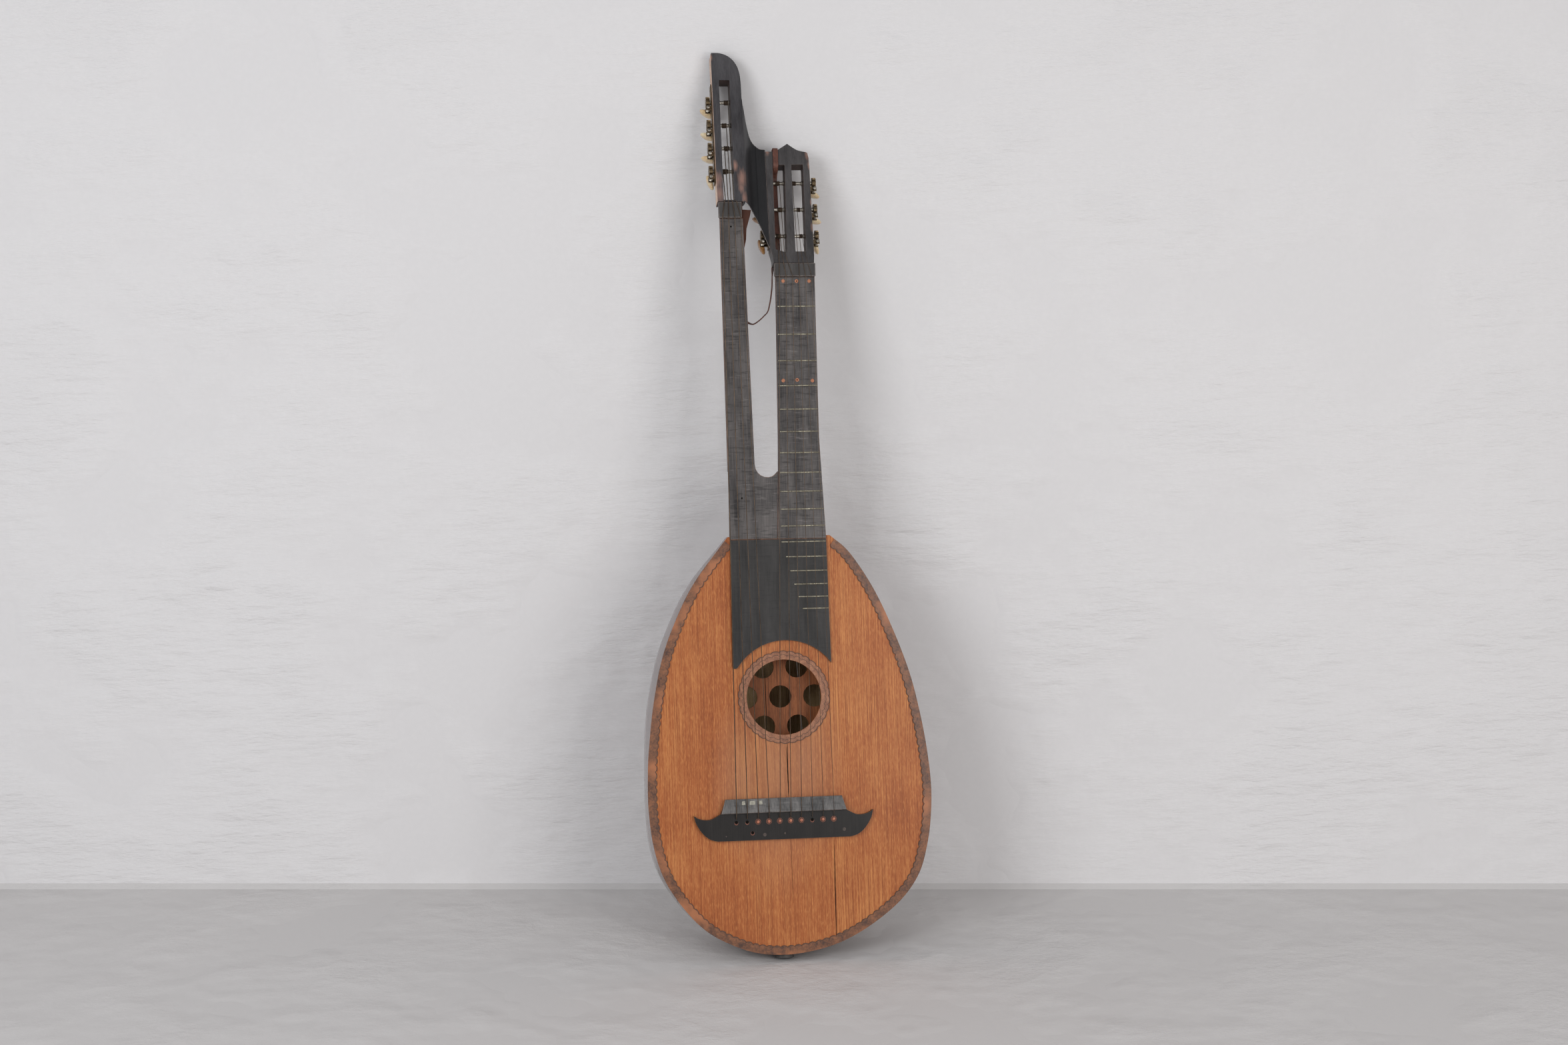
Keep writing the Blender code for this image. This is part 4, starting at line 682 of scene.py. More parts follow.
def bowl_depth(z):
    if z < DEEPEST_LOW:
        share = min(1, (DEEPEST_LOW - z) / (DEEPEST_LOW - TAIL))
        return BOWL_DEPTH * (1 - share**TAIL_POWER) ** (1 / TAIL_POWER)
    share = max(0, z - DEEPEST_HIGH) / (BOWL_TOP - DEEPEST_HIGH)
    return HEEL_DEPTH + (BOWL_DEPTH - HEEL_DEPTH) * math.cos(share * math.pi / 2)


GIRTH_STEPS = 1440
GIRTH_ANGLES = np.linspace(0, math.pi, GIRTH_STEPS + 1)
widest = bowl_width(DEEPEST_LOW)[1]
x = widest * np.sign(np.cos(GIRTH_ANGLES)) * np.abs(np.cos(GIRTH_ANGLES)) ** (2 / BOWL_POWER)
y = (BOWL_DEPTH - RIM_BACK) * np.sin(GIRTH_ANGLES) ** (2 / BOWL_POWER)
girth = np.concatenate([[0], np.cumsum(np.hypot(np.diff(x), np.diff(y)))])
GIRTH_SHARES = girth / girth[-1]


def bowl_point(z, share, inset=0.0):
    """A point of the bowl at a height, from the right rim at share 0 to the left rim at 1."""
    angle = float(np.interp(share, GIRTH_SHARES, GIRTH_ANGLES))
    middle, half = bowl_width(z)
    power = 2 / BOWL_POWER
    back = abs(math.sin(angle)) ** power
    side = math.copysign(abs(math.cos(angle)) ** power, math.cos(angle))
    swell = 1 + between(SWELL, z) * math.sin(math.pi * back)
    half, depth = max(half - inset, 0.5), max(bowl_depth(z) - RIM_BACK - inset, 0.3)
    return at(middle + half * side * swell, RIM_BACK + depth * back, z)


print("body", round(2 * widest, 1), "mm wide and", BOWL_DEPTH, "mm deep")

# %% Ribs
RIBS, RIB_THICKNESS, GLUE_GAP = 7, 2.0, 0.5
RIB_ROWS, RIB_COLUMNS = 60, 10


def rib(index):
    rings = []
    for row in range(RIB_ROWS + 1):
        z = BOWL_TOP - (BOWL_TOP - BOWL_END) * (1 - math.cos(math.pi * row / RIB_ROWS)) / 2
        around = 2 * (bowl_width(z)[1] + bowl_depth(z))
        gap = min(GLUE_GAP / 2 / around, 0.2 / RIBS)
        first = 0 if index == 0 else index / RIBS + gap
        last = 1 if index == RIBS - 1 else (index + 1) / RIBS - gap
        places = np.linspace(first, last, RIB_COLUMNS + 1)
        outside = [bowl_point(z, place) for place in places]
        inside = [bowl_point(z, place, RIB_THICKNESS) for place in places]
        rings.append(outside + inside[::-1])
    name = f"rib_{index + 1}"
    made = new_piece(f"{name}_polished", *loft(rings), (dark_rib, pale_rib)[index % 2], "instrument",
                     "rib_wood", [name], 40)
    # Faces inside the bowl get the pale bare wood, partly painted light from the holes.
    made.data.materials.append(bare_and_lit_wood)
    size = 2 * (RIB_COLUMNS + 1)
    for face in made.data.polygons[: RIB_ROWS * size]:
        face.material_index = 1 if RIB_COLUMNS < face.index % size < size - 1 else 0
    return made


ribs = [rib(index) for index in range(RIBS)]
print("ribs:", len(ribs), "with", sum(len(r.data.polygons) for r in ribs), "faces")

# %% [markdown]
# ## The two heads
#
# The outlines of the heads are curves, so each board is cut from a smooth outline with its slots left
# open. A filled curve makes the board, and a Boolean drills the roller holes. The walls of the slots
# are browner and darker than the face, a painted shade for the deep slots, and the side that the
# machines sit on is worn to bare wood, with a painted highlight along it.

# %% Outlines and slots
BASS_TOP = [(-59, 186.9), (-54, 186.9), (-49.3, 186.1), (-43.6, 183.9), (-38.5, 180.2), (-34.3, 175.2),
            (-31, 168.6), (-28.9, 160), (-28, 150)]
BASS_OUTLINE = [(-62, 0.4), (-62.1, 185.6), (-61.2, 186.9), *curved(BASS_TOP, 5), (-28, 4), (-31.8, 0.4)]
FRETTED_RISE = [(8.9, 138.8), (13.2, 140.8), (18.7, 144.3), (25.1, 148.7)]
FRETTED_FALL = [(25.1, 148.7), (30.5, 144.6), (36.3, 140.9), (41.4, 139.3), (46.5, 138.4)]
FRETTED_OUTLINE = [(1.5, 0.4), (1.3, 7), (-1.2, 18), (-1.2, 138.8), *curved(FRETTED_RISE, 4),
                   *curved(FRETTED_FALL, 4)[1:], (48.5, 137.4), (49.9, 131), (49.9, 10), (49.3, 0.4)]
SLOTS = {  # corners: left foot, left top, right top, right foot
    "bass": [(-54.6, 2.4), (-53.8, 152.4), (-41.4, 152.4), (-41.3, 2.4)],
    "left": [(4.8, 17), (6.5, 122.1), (20.8, 122.1), (18.2, 12.9)],
    "right": [(28.2, 14.3), (28.7, 122.5), (42.6, 122.5), (41.0, 14.3)],
}
CORNER_RADIUS, CORNER_STEPS = 0.8, 5
NEARLY_STRAIGHT = math.radians(160)


def corner_rounded(points):
    """A closed outline with its sharp corners replaced by short arcs."""
    made = []
    for i, point in enumerate(points):
        here = Vector(point)
        before, after = Vector(points[i - 1]) - here, Vector(points[(i + 1) % len(points)]) - here
        if before.angle(after) > NEARLY_STRAIGHT:
            made.append(tuple(here))
            continue
        reach = min(CORNER_RADIUS, before.length / 2.5, after.length / 2.5)
        first, last = here + before.normalized() * reach, here + after.normalized() * reach
        for k in range(CORNER_STEPS + 1):
            t = k / CORNER_STEPS
            made.append(tuple(first * (1 - t) ** 2 + here * 2 * t * (1 - t) + last * t**2))
    return made


print("outline points:", len(BASS_OUTLINE), "and", len(FRETTED_OUTLINE))

# %% [markdown]
# Each machine has a row of rollers. A roller's shaft goes through the wall of its slot beside the
# machine, and its other end turns in a shallow hole across the slot.

# %% Roller holes
MACHINES = {  # height of the head, side of the worms, x of the worms
    "bass": (BASS_HEAD_Z, -1, -67.1), "left": (FRETTED_HEAD_Z, -1, -8.3), "right": (FRETTED_HEAD_Z, 1, 55.7),
}
ROLLER_DEPTH, ROLLER_RADIUS, SPINDLE_RADIUS = 12.4, 3.0, 2.1
ROLLER_HEIGHTS = {
    "bass": (42.2, 71.1, 100.0, 128.9), "left": (37.5, 70.5, 103.5), "right": (37.5, 70.5, 103.5),
}
HOLE_SPANS = {  # x of both ends of the shaft's hole, and of the pin's
    "bass": ((-72, -50), (-45, -38.5)), "left": ((-10, 10), (15, 23.2)), "right": ((60, 38), (33, 25.6)),
}
SHAFT_HOLE, PIN_HOLE = 2.9, 2.4


def roller_holes(machine):
    """Rods through a wall for the shafts, and into the wall across the slot for their pins."""
    made = []
    for z in ROLLER_HEIGHTS[machine]:
        for span, radius in zip(HOLE_SPANS[machine], (SHAFT_HOLE, PIN_HOLE)):
            made.append(turned(ROLLER_DEPTH, z, MACHINES[machine][0], [(x, radius) for x in span], 16))
    return made


print("holes in the bass head:", len(roller_holes("bass")))

# %% Boards with slots
HEAD_THICKNESS = 18.0
BASS_EDGE = at(-61, 0, 0).x
HEAD_FRONT = Vector((0, -math.cos(HEAD_TILT), math.sin(HEAD_TILT)))


def sawn(name, loops, head_z):
    """The vertices and faces of a board in a head's frame, from its outline and its slots."""
    curve = bpy.data.curves.new(name, "CURVE")
    curve.dimensions = "2D"
    curve.fill_mode = "BOTH"
    curve.extrude = HEAD_THICKNESS / 2 * MM
    for loop in loops:
        spline = curve.splines.new("POLY")
        spline.points.add(len(loop) - 1)
        for point, (x, z) in zip(spline.points, loop):
            point.co = (x * MM, z * MM, 0, 1)
        spline.use_cyclic_u = True
    drawn = bpy.data.objects.new(name + "_curve", curve)
    bpy.context.scene.collection.objects.link(drawn)
    bpy.context.view_layer.update()
    mesh = bpy.data.meshes.new_from_object(drawn.evaluated_get(bpy.context.evaluated_depsgraph_get()))
    bpy.data.objects.remove(drawn, do_unlink=True)
    bm = bmesh.new()
    bm.from_mesh(mesh)
    bmesh.ops.remove_doubles(bm, verts=bm.verts, dist=MERGE_DISTANCE)
    bmesh.ops.dissolve_limit(bm, angle_limit=FLAT_WITHIN / 2, verts=bm.verts, edges=bm.edges)
    flat, faces = read_out(bm)
    verts = [on_head(v.x / MM, HEAD_THICKNESS / 2 - v.z / MM, v.y / MM, head_z) for v in flat]
    return verts, faces


def drilled(piece, holes):
    """The piece with rods cut out of it."""
    drill = bpy.data.objects.new(piece.name + "_drill", bpy.data.meshes.new(piece.name + "_drill"))
    verts, faces = joined(holes)
    drill.data.from_pydata([tuple(v) for v in verts], [], faces)
    bpy.context.scene.collection.objects.link(drill)
    cut = piece.modifiers.new("Drill", "BOOLEAN")
    cut.operation, cut.solver, cut.object = "DIFFERENCE", "EXACT", drill
    bpy.context.view_layer.update()
    mesh = bpy.data.meshes.new_from_object(piece.evaluated_get(bpy.context.evaluated_depsgraph_get()))
    piece.modifiers.clear()
    piece.data = mesh
    bpy.data.objects.remove(drill, do_unlink=True)
    mesh.shade_smooth()
    mesh.set_sharp_from_angle(angle=math.radians(40))
    return piece


def head_board(name, outline, machines, finish):
    """A head with its slots and holes, painted shade on the slot walls and a worn, highlit side by the bass
    machine.
    """
    slots = [SLOTS[machine] for machine in machines]
    head_z = MACHINES[machines[0]][0]
    board = sawn(name, [outline, *(corner_rounded(slot) for slot in slots)], head_z)
    made = new_piece(f"{name}_carved", *board, finish, "instrument", "black_wood", [name], 40)
    made.data.materials.append(worn_and_highlit_side)
    made.data.materials.append(shaded_slot_wood)
    across = [x for slot in slots for x, _ in slot]
    slots_left, slots_right = at(min(across) - 1, 0, 0).x, at(max(across) + 1, 0, 0).x
    # Faces on the bass head's left side get the worn, highlit side; the slot walls get the painted shade.
    for face in made.data.polygons:
        if face.normal.x < -0.9 and face.center.x < BASS_EDGE:
            face.material_index = 1
        elif abs(face.normal.dot(HEAD_FRONT)) < 0.5 and slots_left < face.center.x < slots_right:
            face.material_index = 2
    return rounded(drilled(made, sum((roller_holes(m) for m in machines), [])), 0.6, worn_highlit_edge)


heads = [head_board("bass_head", BASS_OUTLINE, ["bass"], bass_head_wood),
         head_board("fretted_head", FRETTED_OUTLINE, ["left", "right"], fretted_head_wood)]
print("heads:", [len(head.data.polygons) for head in heads], "faces")

# %% [markdown]
# The wing is a thin hollowed sheet that flows from the face of the bass head back to the fretted
# head, which lies deeper. Its top and foot are curves, and the rings of its loft run up between them.

# %% The wing
WING_TOP = [(-34, 704), (-28.1, 704), (-27.2, 697), (-25.6, 689), (-23.4, 674), (-18.6, 656.5), (-10, 645),
            (-1.5, 643)]
WING_FOOT = [(-34, 578), (-29.7, 576.5), (-21.8, 568.8), (-14, 554), (-7.5, 536), (-1.5, 520)]
WING_THICKNESS, WING_START, WING_LEVEL, WING_HOLLOW = 2.5, -28.0, -12.0, 5.0
WING_PROUD, WING_SUNK = 0.03, 1.0
top, foot = curved(WING_TOP, 8), curved(WING_FOOT, 8)
slope = math.tan(HEAD_TILT)
rings = []
for x in [WING_TOP[0][0], -30, *np.linspace(-28.2, WING_TOP[-1][0], 44)]:
    share = min(1, max(0, (x - WING_START) / (WING_LEVEL - WING_START)))
    fall = (BASS_HEAD_Z - FRETTED_HEAD_Z) * slope * (3 - 2 * share) * share**2
    fall += WING_HOLLOW * math.sin(math.pi * share)
    fall += WING_SUNK if x == WING_TOP[0][0] else -WING_PROUD
    heights = np.linspace(between(foot, x), between(top, x), 24)
    line = [(x, -BOARD_FACE + (z - BASS_HEAD_Z) * slope + fall, z) for z in heights]
    rings.append([at(*p) for p in line] + [at(a, b + WING_THICKNESS, c) for a, b, c in reversed(line)])
wing = new_piece("wing_carved", *loft(rings), bass_head_wood, slot="black_wood", sharp=40)
rounded(wing, 0.5, worn_highlit_edge)
print("wing:", len(rings), "rings")

# %% [markdown]
# ## Inlaid band and ring
#
# A brown band runs round the rim, and its inner edge is cut in small scrolls that are outlined in
# dark ink. The ring round the sound hole has the same scallops. Both are thin veneer, so each is a
# flat strip with a wavy edge, and a narrow dark line follows the waves.

# %% Flat strips
VENEER, INK = (-1.0, -0.05), (-1.12, -1.02)
BAND_STEP = 1.2


def strip(name, outer, inner, depths, finish, slot, replaces=(), closed=False):
    """A flat strip between two lines of (x, z) points, from a front to a back depth."""
    front, back = depths
    rings = [[at(x0, back, z0), at(x0, front, z0), at(x1, front, z1), at(x1, back, z1)]
             for (x0, z0), (x1, z1) in zip(outer, inner)]
    verts, faces = loft(rings, caps=not closed)
    if closed:
        last = 4 * (len(rings) - 1)
        faces += [(last + i, last + (i + 1) % 4, (i + 1) % 4, i) for i in range(4)]
    return new_piece(name, verts, faces, finish, "instrument", slot, replaces, 30)


def beside(path, i, offset):
    """The point this far to the left of a path's point, square to the path."""
    before, after = path[max(i - 1, 0)], path[min(i + 1, len(path) - 1)]
    dx, dz = after[0] - before[0], after[1] - before[1]
    size = math.hypot(dx, dz) or 1
    return path[i][0] + dz / size * offset, path[i][1] - dx / size * offset


def even_path(points, step):
    """The points of a path at equal distances."""
    points = np.array(points, float)
    run = np.concatenate([[0], np.cumsum(np.hypot(*np.diff(points, axis=0).T))])
    marks = np.linspace(0, run[-1], max(2, round(run[-1] / step)))
    return [tuple(float(np.interp(m, run, points[:, k])) for k in (0, 1)) for m in marks], marks


rim, marks = even_path([p for p in rim_curve if p[1] < 181 or abs(p[0]) > 64], BAND_STEP)
print("the rim is", round(float(marks[-1])), "mm long")

# %% The edge band
BAND_WIDTH, BAND_LINE = 10.5, 0.9
SCROLL_LENGTH, SCROLL_DEPTH = 8.6, 2.4
BOARD_SIDES, BOARD_FOOT = (-57.6, 54.6), 37


def scroll(distance):
    """How far a scroll stands out of its line: round lobes that meet in small notches."""
    share = (distance % SCROLL_LENGTH) / SCROLL_LENGTH
    return SCROLL_DEPTH * math.sqrt(math.sin(math.pi * share))


def off_the_board(x, side):
    """An x that stops at the fingerboard's edge, on the left or the right of it."""
    return min(x, BOARD_SIDES[0]) if side < 0 else max(x, BOARD_SIDES[1])


outer, inner, line = [], [], []
for i, mark in enumerate(marks):
    width = BAND_WIDTH - SCROLL_DEPTH + scroll(mark)
    (x, z), (line_x, line_z) = beside(rim, i, width), beside(rim, i, width - BAND_LINE)
    if z > BOARD_FOOT:
        x, line_x = off_the_board(x, rim[i][0]), off_the_board(line_x, rim[i][0])
        if abs(rim[i][0] - x) < 0.5:
            continue
    outer.append(rim[i])
    inner.append((x, z))
    line.append((line_x, line_z))
strip("edge_band_inlay", outer, inner, VENEER, band_wood, "dark_band", ["edge_band"])
strip("edge_band_ink", line, inner, INK, ink, "dark_band")
print("band:", len(outer), "points along the rim")

# %% The ring round the hole
HOLE_RADIUS, RING_RADIUS = 43.4, 53.6
RING_LOBES, RING_POINTS = 34, 612
LOBE_DEPTH, GARLAND_DEPTH = 1.8, 2.1


def ring_loop(radius, depth):
    made = []
    for i in range(RING_POINTS):
        angle = math.tau * i / RING_POINTS
        reach = radius + depth * math.sqrt(abs(math.sin(angle * RING_LOBES / 2)))
        made.append((reach * math.cos(angle), reach * math.sin(angle)))
    return made


lobes = ring_loop(RING_RADIUS - LOBE_DEPTH, LOBE_DEPTH)
strip("hole_ring_inlay", lobes, ring_loop(HOLE_RADIUS, 0), VENEER, ring_wood, "rosette",
      ["rosette_ring"], closed=True)
strip("hole_ring_ink", lobes, ring_loop(RING_RADIUS - 2.6, LOBE_DEPTH), INK, ink, "rosette", closed=True)
garland = [ring_loop(RING_RADIUS - inset, GARLAND_DEPTH) for inset in (6.4, 6.9)]
strip("hole_ring_garland", *garland, INK, ink, "rosette", closed=True)
print("ring lobes:", RING_LOBES)

# %% [markdown]
# ## Cracks in the boards
#
# Two long cracks have opened between planks of the soundboard, a fine one runs below the bridge, a
# curved one near the left edge, and the sieve board has one too. A crack is a black sliver of painted
# shade: wide in the middle, ending in points. It is laid on the wood as a very thin piece.

# %% Cracks
CRACKS = [  # name, middle line, width
    ("soundboard_crack_middle", [(2.6, -53.9), (1.9, -62), (2.0, -80), (2.1, -100), (2.2, -114.4)], 1.3),
    ("soundboard_crack_right", [(53.5, -166), (53.6, -200), (53.4, -240), (53.2, -283.5)], 0.9),
    ("soundboard_crack_below_bridge", [(3.6, -164), (3.9, -200), (4.2, -236)], 0.3),
    ("soundboard_crack_left", [(-139, -176), (-138.4, -190), (-134.2, -204), (-130.6, -220), (-128, -232)],
     0.6),
    ("sieve_board_crack", [(-17.4, 40), (-17.2, 0), (-17.0, -40)], 0.8),
]
SIEVE_FRONT, TOP_FRONT, CRACK_THICKNESS = 31.02, -0.06, 0.05
for name, path, width in CRACKS:
    points, _ = even_path(curved(path, 8), 2.0)
    one, other = [], []
    for i, (_, z) in enumerate(points):
        half = width / 2 * math.sin(math.pi * (i + 0.5) / len(points)) ** 0.5
        half *= 1 + 0.25 * noise.noise(Vector((z * 0.2, width, 0)))
        one.append(beside(points, i, half))
        other.append(beside(points, i, -half))
    front = SIEVE_FRONT if name.startswith("sieve") else TOP_FRONT
    strip(name, one, other, (front, front + CRACK_THICKNESS), painted_hole_shade, "spruce")
print("cracks:", len(CRACKS))

# %% [markdown]
# ## Frets, plugs and pins
#
# The frets are half-round wire, so each is a loft of a small half circle, laid over the solid's bar.
# Wooden plugs cover the screws at both ends of the fretted board. The bridge has ten string holes:
# seven still hold a red-brown pin, and three are empty.

# %% Frets
STRING_LENGTH, SADDLE_Z, SEAM_FRET, LAST_FRET = 618.0, -130.0, 12, 17
FRET_RADIUS, FRET_RISE, FRET_SUNK, FRET_CURVE = 0.9, 0.98, 0.3, 7
FRET_LEFT = [(182, 1.3), (488, 4.9)]
NECK_RIGHT = [(182, 54.2), (300, 49.3), (488, 49.4)]
BOARD_RIGHT = [(38.1, 56.0), (182.5, 54.2)]
SHORT_FRET_START, SHORT_FRET_STEP, FRET_INSET = 6.2, 4.5, 0.7


def fret_wire(number):
    z = SADDLE_Z + STRING_LENGTH * 2 ** (-number / 12)
    left = SHORT_FRET_START + SHORT_FRET_STEP * (number - SEAM_FRET - 1)
    if number <= SEAM_FRET:
        left = between(FRET_LEFT, z)
    right = between(NECK_RIGHT if z > BOARD_RIGHT[-1][0] else BOARD_RIGHT, z) - FRET_INSET
    rings = []
    for x, size in ((left, 0.6), (left + 0.4, 1), (right - 0.4, 1), (right, 0.6)):
        ring = []
        for i in range(FRET_CURVE):
            angle = math.pi * i / (FRET_CURVE - 1)
            rise = (FRET_SUNK + FRET_RISE) * math.sin(angle) * size
            ring.append(at(x, -BOARD_FACE + FRET_SUNK - rise, z + FRET_RADIUS * math.cos(angle)))
        rings.append(ring)
    return loft(rings)


frets = [fret_wire(number) for number in range(1, LAST_FRET + 1)]
for place_name, wires in (("neck", frets[:SEAM_FRET - 1]), ("body", frets[SEAM_FRET - 1:])):
    new_piece(f"fret_wires_{place_name}", *joined(wires), fret_brass, slot="fingerboard", sharp=50)
print("frets:", len(frets))

# %% Plugs and screw holes in the boards
def disc(x, y, z, radius, height, edge, domed=False):
    """A small turned disc on a front face: its edge is rounded, and its face flat or domed."""
    profile = [(radius, 0.0), (radius, height - edge), (radius - edge, height)]
    if domed:
        profile += [(radius * 0.6, height + radius * 0.16), (radius * 0.2, height + radius * 0.22)]
    return loft([[at(x + a, y - rise, z + b) for a, b in circle(size, 24)] for size, rise in profile])


PLUGS = [(12.1, 482.9), (27.9, 482.8), (42.7, 482.8), (9.1, 366.5), (25.4, 367.1), (43.3, 366.1)]
HOLLOW_PLUGS = PLUGS[1::3]
SCREW_HOLES = [(-47.3, 547.0), (-43.0, 230.5)]
board = -BOARD_FACE - 0.02
plugs = [disc(x, board + 0.1, z, 2.1, 0.18, 0.06) for x, z in PLUGS]
new_piece("fingerboard_plugs", *joined(plugs), plug_wood, slot="fingerboard")
# The open holes are black discs of painted shade.
holes = [disc(x, board, z, 0.75, 0.1, 0.02) for x, z in HOLLOW_PLUGS]
holes += [disc(x, board + 0.1, z, 1.1, 0.12, 0.02) for x, z in SCREW_HOLES]
new_piece("fingerboard_holes", *joined(holes), painted_hole_shade, slot="fingerboard")
print("plugs:", len(plugs), "of which hollow:", len(HOLLOW_PLUGS))

# %% Pins and holes in the bridge
BRIDGE_FACE, PIN_Z, PIN_RADIUS = -4.8, -141.2, 2.6
PIN_X = [-59.6 + 12.54 * i for i in range(10)]
PINS_PRESENT, EMPTY_HOLES = (2, 3, 4, 5, 6, 8, 9), (0, 1, 7)
SPARE_X, SPARE_Z = -41.2, -153.6
WORN_DOTS = [(-71.6, -156.7, 0.8), (-3.7, -155.4, 1.0), (65.2, -153.6, 2.0), (-27.1, -156.2, 2.0)]
COLLAR_HEIGHT, IN_COLLAR = 0.05, BRIDGE_FACE - 0.06
collars = [disc(PIN_X[i], BRIDGE_FACE, PIN_Z, 3.4, 0.08, 0.04) for i in PINS_PRESENT]
collars += [disc(PIN_X[i], BRIDGE_FACE, PIN_Z - 0.9, 2.3, COLLAR_HEIGHT, 0.02) for i in EMPTY_HOLES]
collars.append(disc(SPARE_X, BRIDGE_FACE, SPARE_Z - 0.6, 2.4, COLLAR_HEIGHT, 0.02))
pins = [disc(PIN_X[i], IN_COLLAR, PIN_Z, PIN_RADIUS, 1.0, 0.7, domed=True) for i in PINS_PRESENT]
# The empty pin holes are black discs of painted shade.
holes = [disc(PIN_X[i], IN_COLLAR, PIN_Z, 1.9, 0.06, 0.02) for i in EMPTY_HOLES]
holes.append(disc(SPARE_X, IN_COLLAR, SPARE_Z, 1.8, 0.06, 0.02))
dots = [disc(x, BRIDGE_FACE, z, radius, 0.04, 0.02) for x, z, radius in WORN_DOTS]
for name, parts, finish in (("collars", collars, collar_wood), ("pins", pins, pin_wood),
                            ("holes", holes, painted_hole_shade), ("worn_dots", dots, worn_dot)):
    new_piece(f"bridge_{name}", *joined(parts), finish, slot="bridge")
print("pins:", len(pins), "empty holes:", len(EMPTY_HOLES))

# %% [markdown]
# ## Strings
#
# Each string runs from its pin over the saddle and the nut into its slot, and ends on the front of
# its roller. It is the solid string's path with a rounder section, a little thinner, because the
# real ones look fine. The turns round the roller come later, because they turn with it.

# %% Strings
SADDLE_HEIGHT, NUT_HEIGHT, CLEAR, STRING_SHARE = 9.0, 5.2, 0.3, 0.85
NUTS = {"bass": (557.0, 18.8), "left": (488.0, 15.8), "right": (488.0, 15.8)}  # z and width
STRINGS = [  # name, x at the nut, x in the slot, radius, machine, number of its roller
    ("bass_string_1", -57.0, -53.0, 0.65, "bass", 0), ("bass_string_2", -50.0, -49.8, 0.6, "bass", 1),
    ("bass_string_3", -42.8, -46.4, 0.55, "bass", 2), ("bass_string_4", -35.8, -43.2, 0.5, "bass", 3),
    ("fretted_string_1", 7.6, 8.0, 0.48, "left", 0), ("fretted_string_2", 15.3, 11.4, 0.45, "left", 1),
    ("fretted_string_3", 23.0, 14.8, 0.4, "left", 2), ("fretted_string_4", 31.1, 30.4, 0.35, "right", 2),
    ("fretted_string_5", 38.3, 34.4, 0.32, "right", 1), ("fretted_string_6", 45.2, 38.6, 0.3, "right", 0),
]


def tube(points, radius, sides):
    """A round skin along points given in metres, with a radius in millimetres."""
    points = [Vector(p) for p in points]
    side = Vector((1, 0, 0))
    rings = []
    for i, point in enumerate(points):
        along = (points[min(i + 1, len(points) - 1)] - points[max(i - 1, 0)]).normalized()
        side = side - along * side.dot(along)
        if side.length < 0.05:
            side = along.orthogonal()
        side.normalize()
        other = along.cross(side)
        rings.append([point + (side * a + other * b) * MM for a, b in circle(radius, sides)])
    return loft(rings)


def string_path(pin_x, nut_x, slot_x, radius, machine, number):
    nut_z, nut_width = NUTS[machine]
    head_z = MACHINES[machine][0]
    lift = CLEAR + radius
    (x0, z0), (x1, z1) = SLOTS[machine][0], SLOTS[machine][3]
    foot = z0 + (z1 - z0) * (slot_x - x0) / (x1 - x0)
    points = [at(pin_x, BRIDGE_FACE - lift, PIN_Z + PIN_RADIUS + 2 * radius),
              at(pin_x, -SADDLE_HEIGHT - lift, SADDLE_Z - 1.0), at(nut_x, -NUT_HEIGHT - lift, nut_z + 1),
              at(nut_x + (slot_x - nut_x) * 0.6, -NUT_HEIGHT - lift, nut_z + nut_width),
              on_head(slot_x, -lift - CLEAR, foot + 0.4, head_z)]
    reach = SPINDLE_RADIUS + lift
    for angle in map(math.radians, (-20, 15, 50, 85)):
        points.append(on_head(slot_x, ROLLER_DEPTH - reach * math.cos(angle),
                              ROLLER_HEIGHTS[machine][number] + reach * math.sin(angle), head_z))
    return points


for pin_x, (name, *route) in zip(PIN_X, STRINGS):
    wire = tube(string_path(pin_x, *route), route[2] * STRING_SHARE, 10)
    new_piece(f"{name}_wire", *wire, string_metal, slot="string", replaces=[name], sharp=60)
print("strings:", len(STRINGS))

# %% [markdown]
# ## Tuning machines
#
# A cog with fourteen teeth sits on the end of each roller, and a worm of two turns drives it. The
# worm's shaft goes on through the back lug and carries a flat oval button of bone. Worm and roller
# turn in the CAD, so every piece of a machine rides on the body that turns it. The rollers are
# turned thin between two collars.

# %% Rollers and cogs
COG_TEETH, COG_RADIUS, COG_ROOT, COG_THICKNESS = 14, 6.8, 5.6, 4.5
COG_SECTION = ((-0.5, 0.25), (-0.44, 0.0), (0.44, 0.0), (0.5, 0.25))  # share of the thickness, inset
TOOTH = (  # radius, and half the tooth's angle there
    (COG_ROOT, 0.7 / COG_ROOT), ((COG_ROOT + COG_RADIUS) / 2, 0.55 / 6.2), (COG_RADIUS, 0.375 / COG_RADIUS),
)
COLLAR = ((0.4, 2.7), (0.7, 3.0), (1.3, 2.9), (1.6, SPINDLE_RADIUS))  # from the slot's wall, radius


def cog(x, z, head_z):
    """A cog with a gap between two teeth straight below its centre."""
    rings = []
    for along, inset in COG_SECTION:
        ring = []
        for tooth in range(COG_TEETH):
            middle = -math.pi / 2 + math.tau * (tooth + 0.5) / COG_TEETH
            flank = [(r, -half) for r, half in TOOTH] + [(r, half) for r, half in reversed(TOOTH)]
            for radius, offset in flank:
                reach, angle = radius - inset, middle + offset
                ring.append(on_head(x + along * COG_THICKNESS, ROLLER_DEPTH + reach * math.cos(angle),
                                    z + reach * math.sin(angle), head_z))
        rings.append(ring)
    return loft(rings)


def slot_walls(machine, z):
    """The x of a slot's walls at a height, the one beside the machine first."""
    left_foot, left_top, right_top, right_foot = SLOTS[machine]
    walls = [x0 + (x1 - x0) * (z - z0) / (z1 - z0)
             for (x0, z0), (x1, z1) in ((left_foot, left_top), (right_foot, right_top))]
    return walls if MACHINES[machine][1] < 0 else walls[::-1]


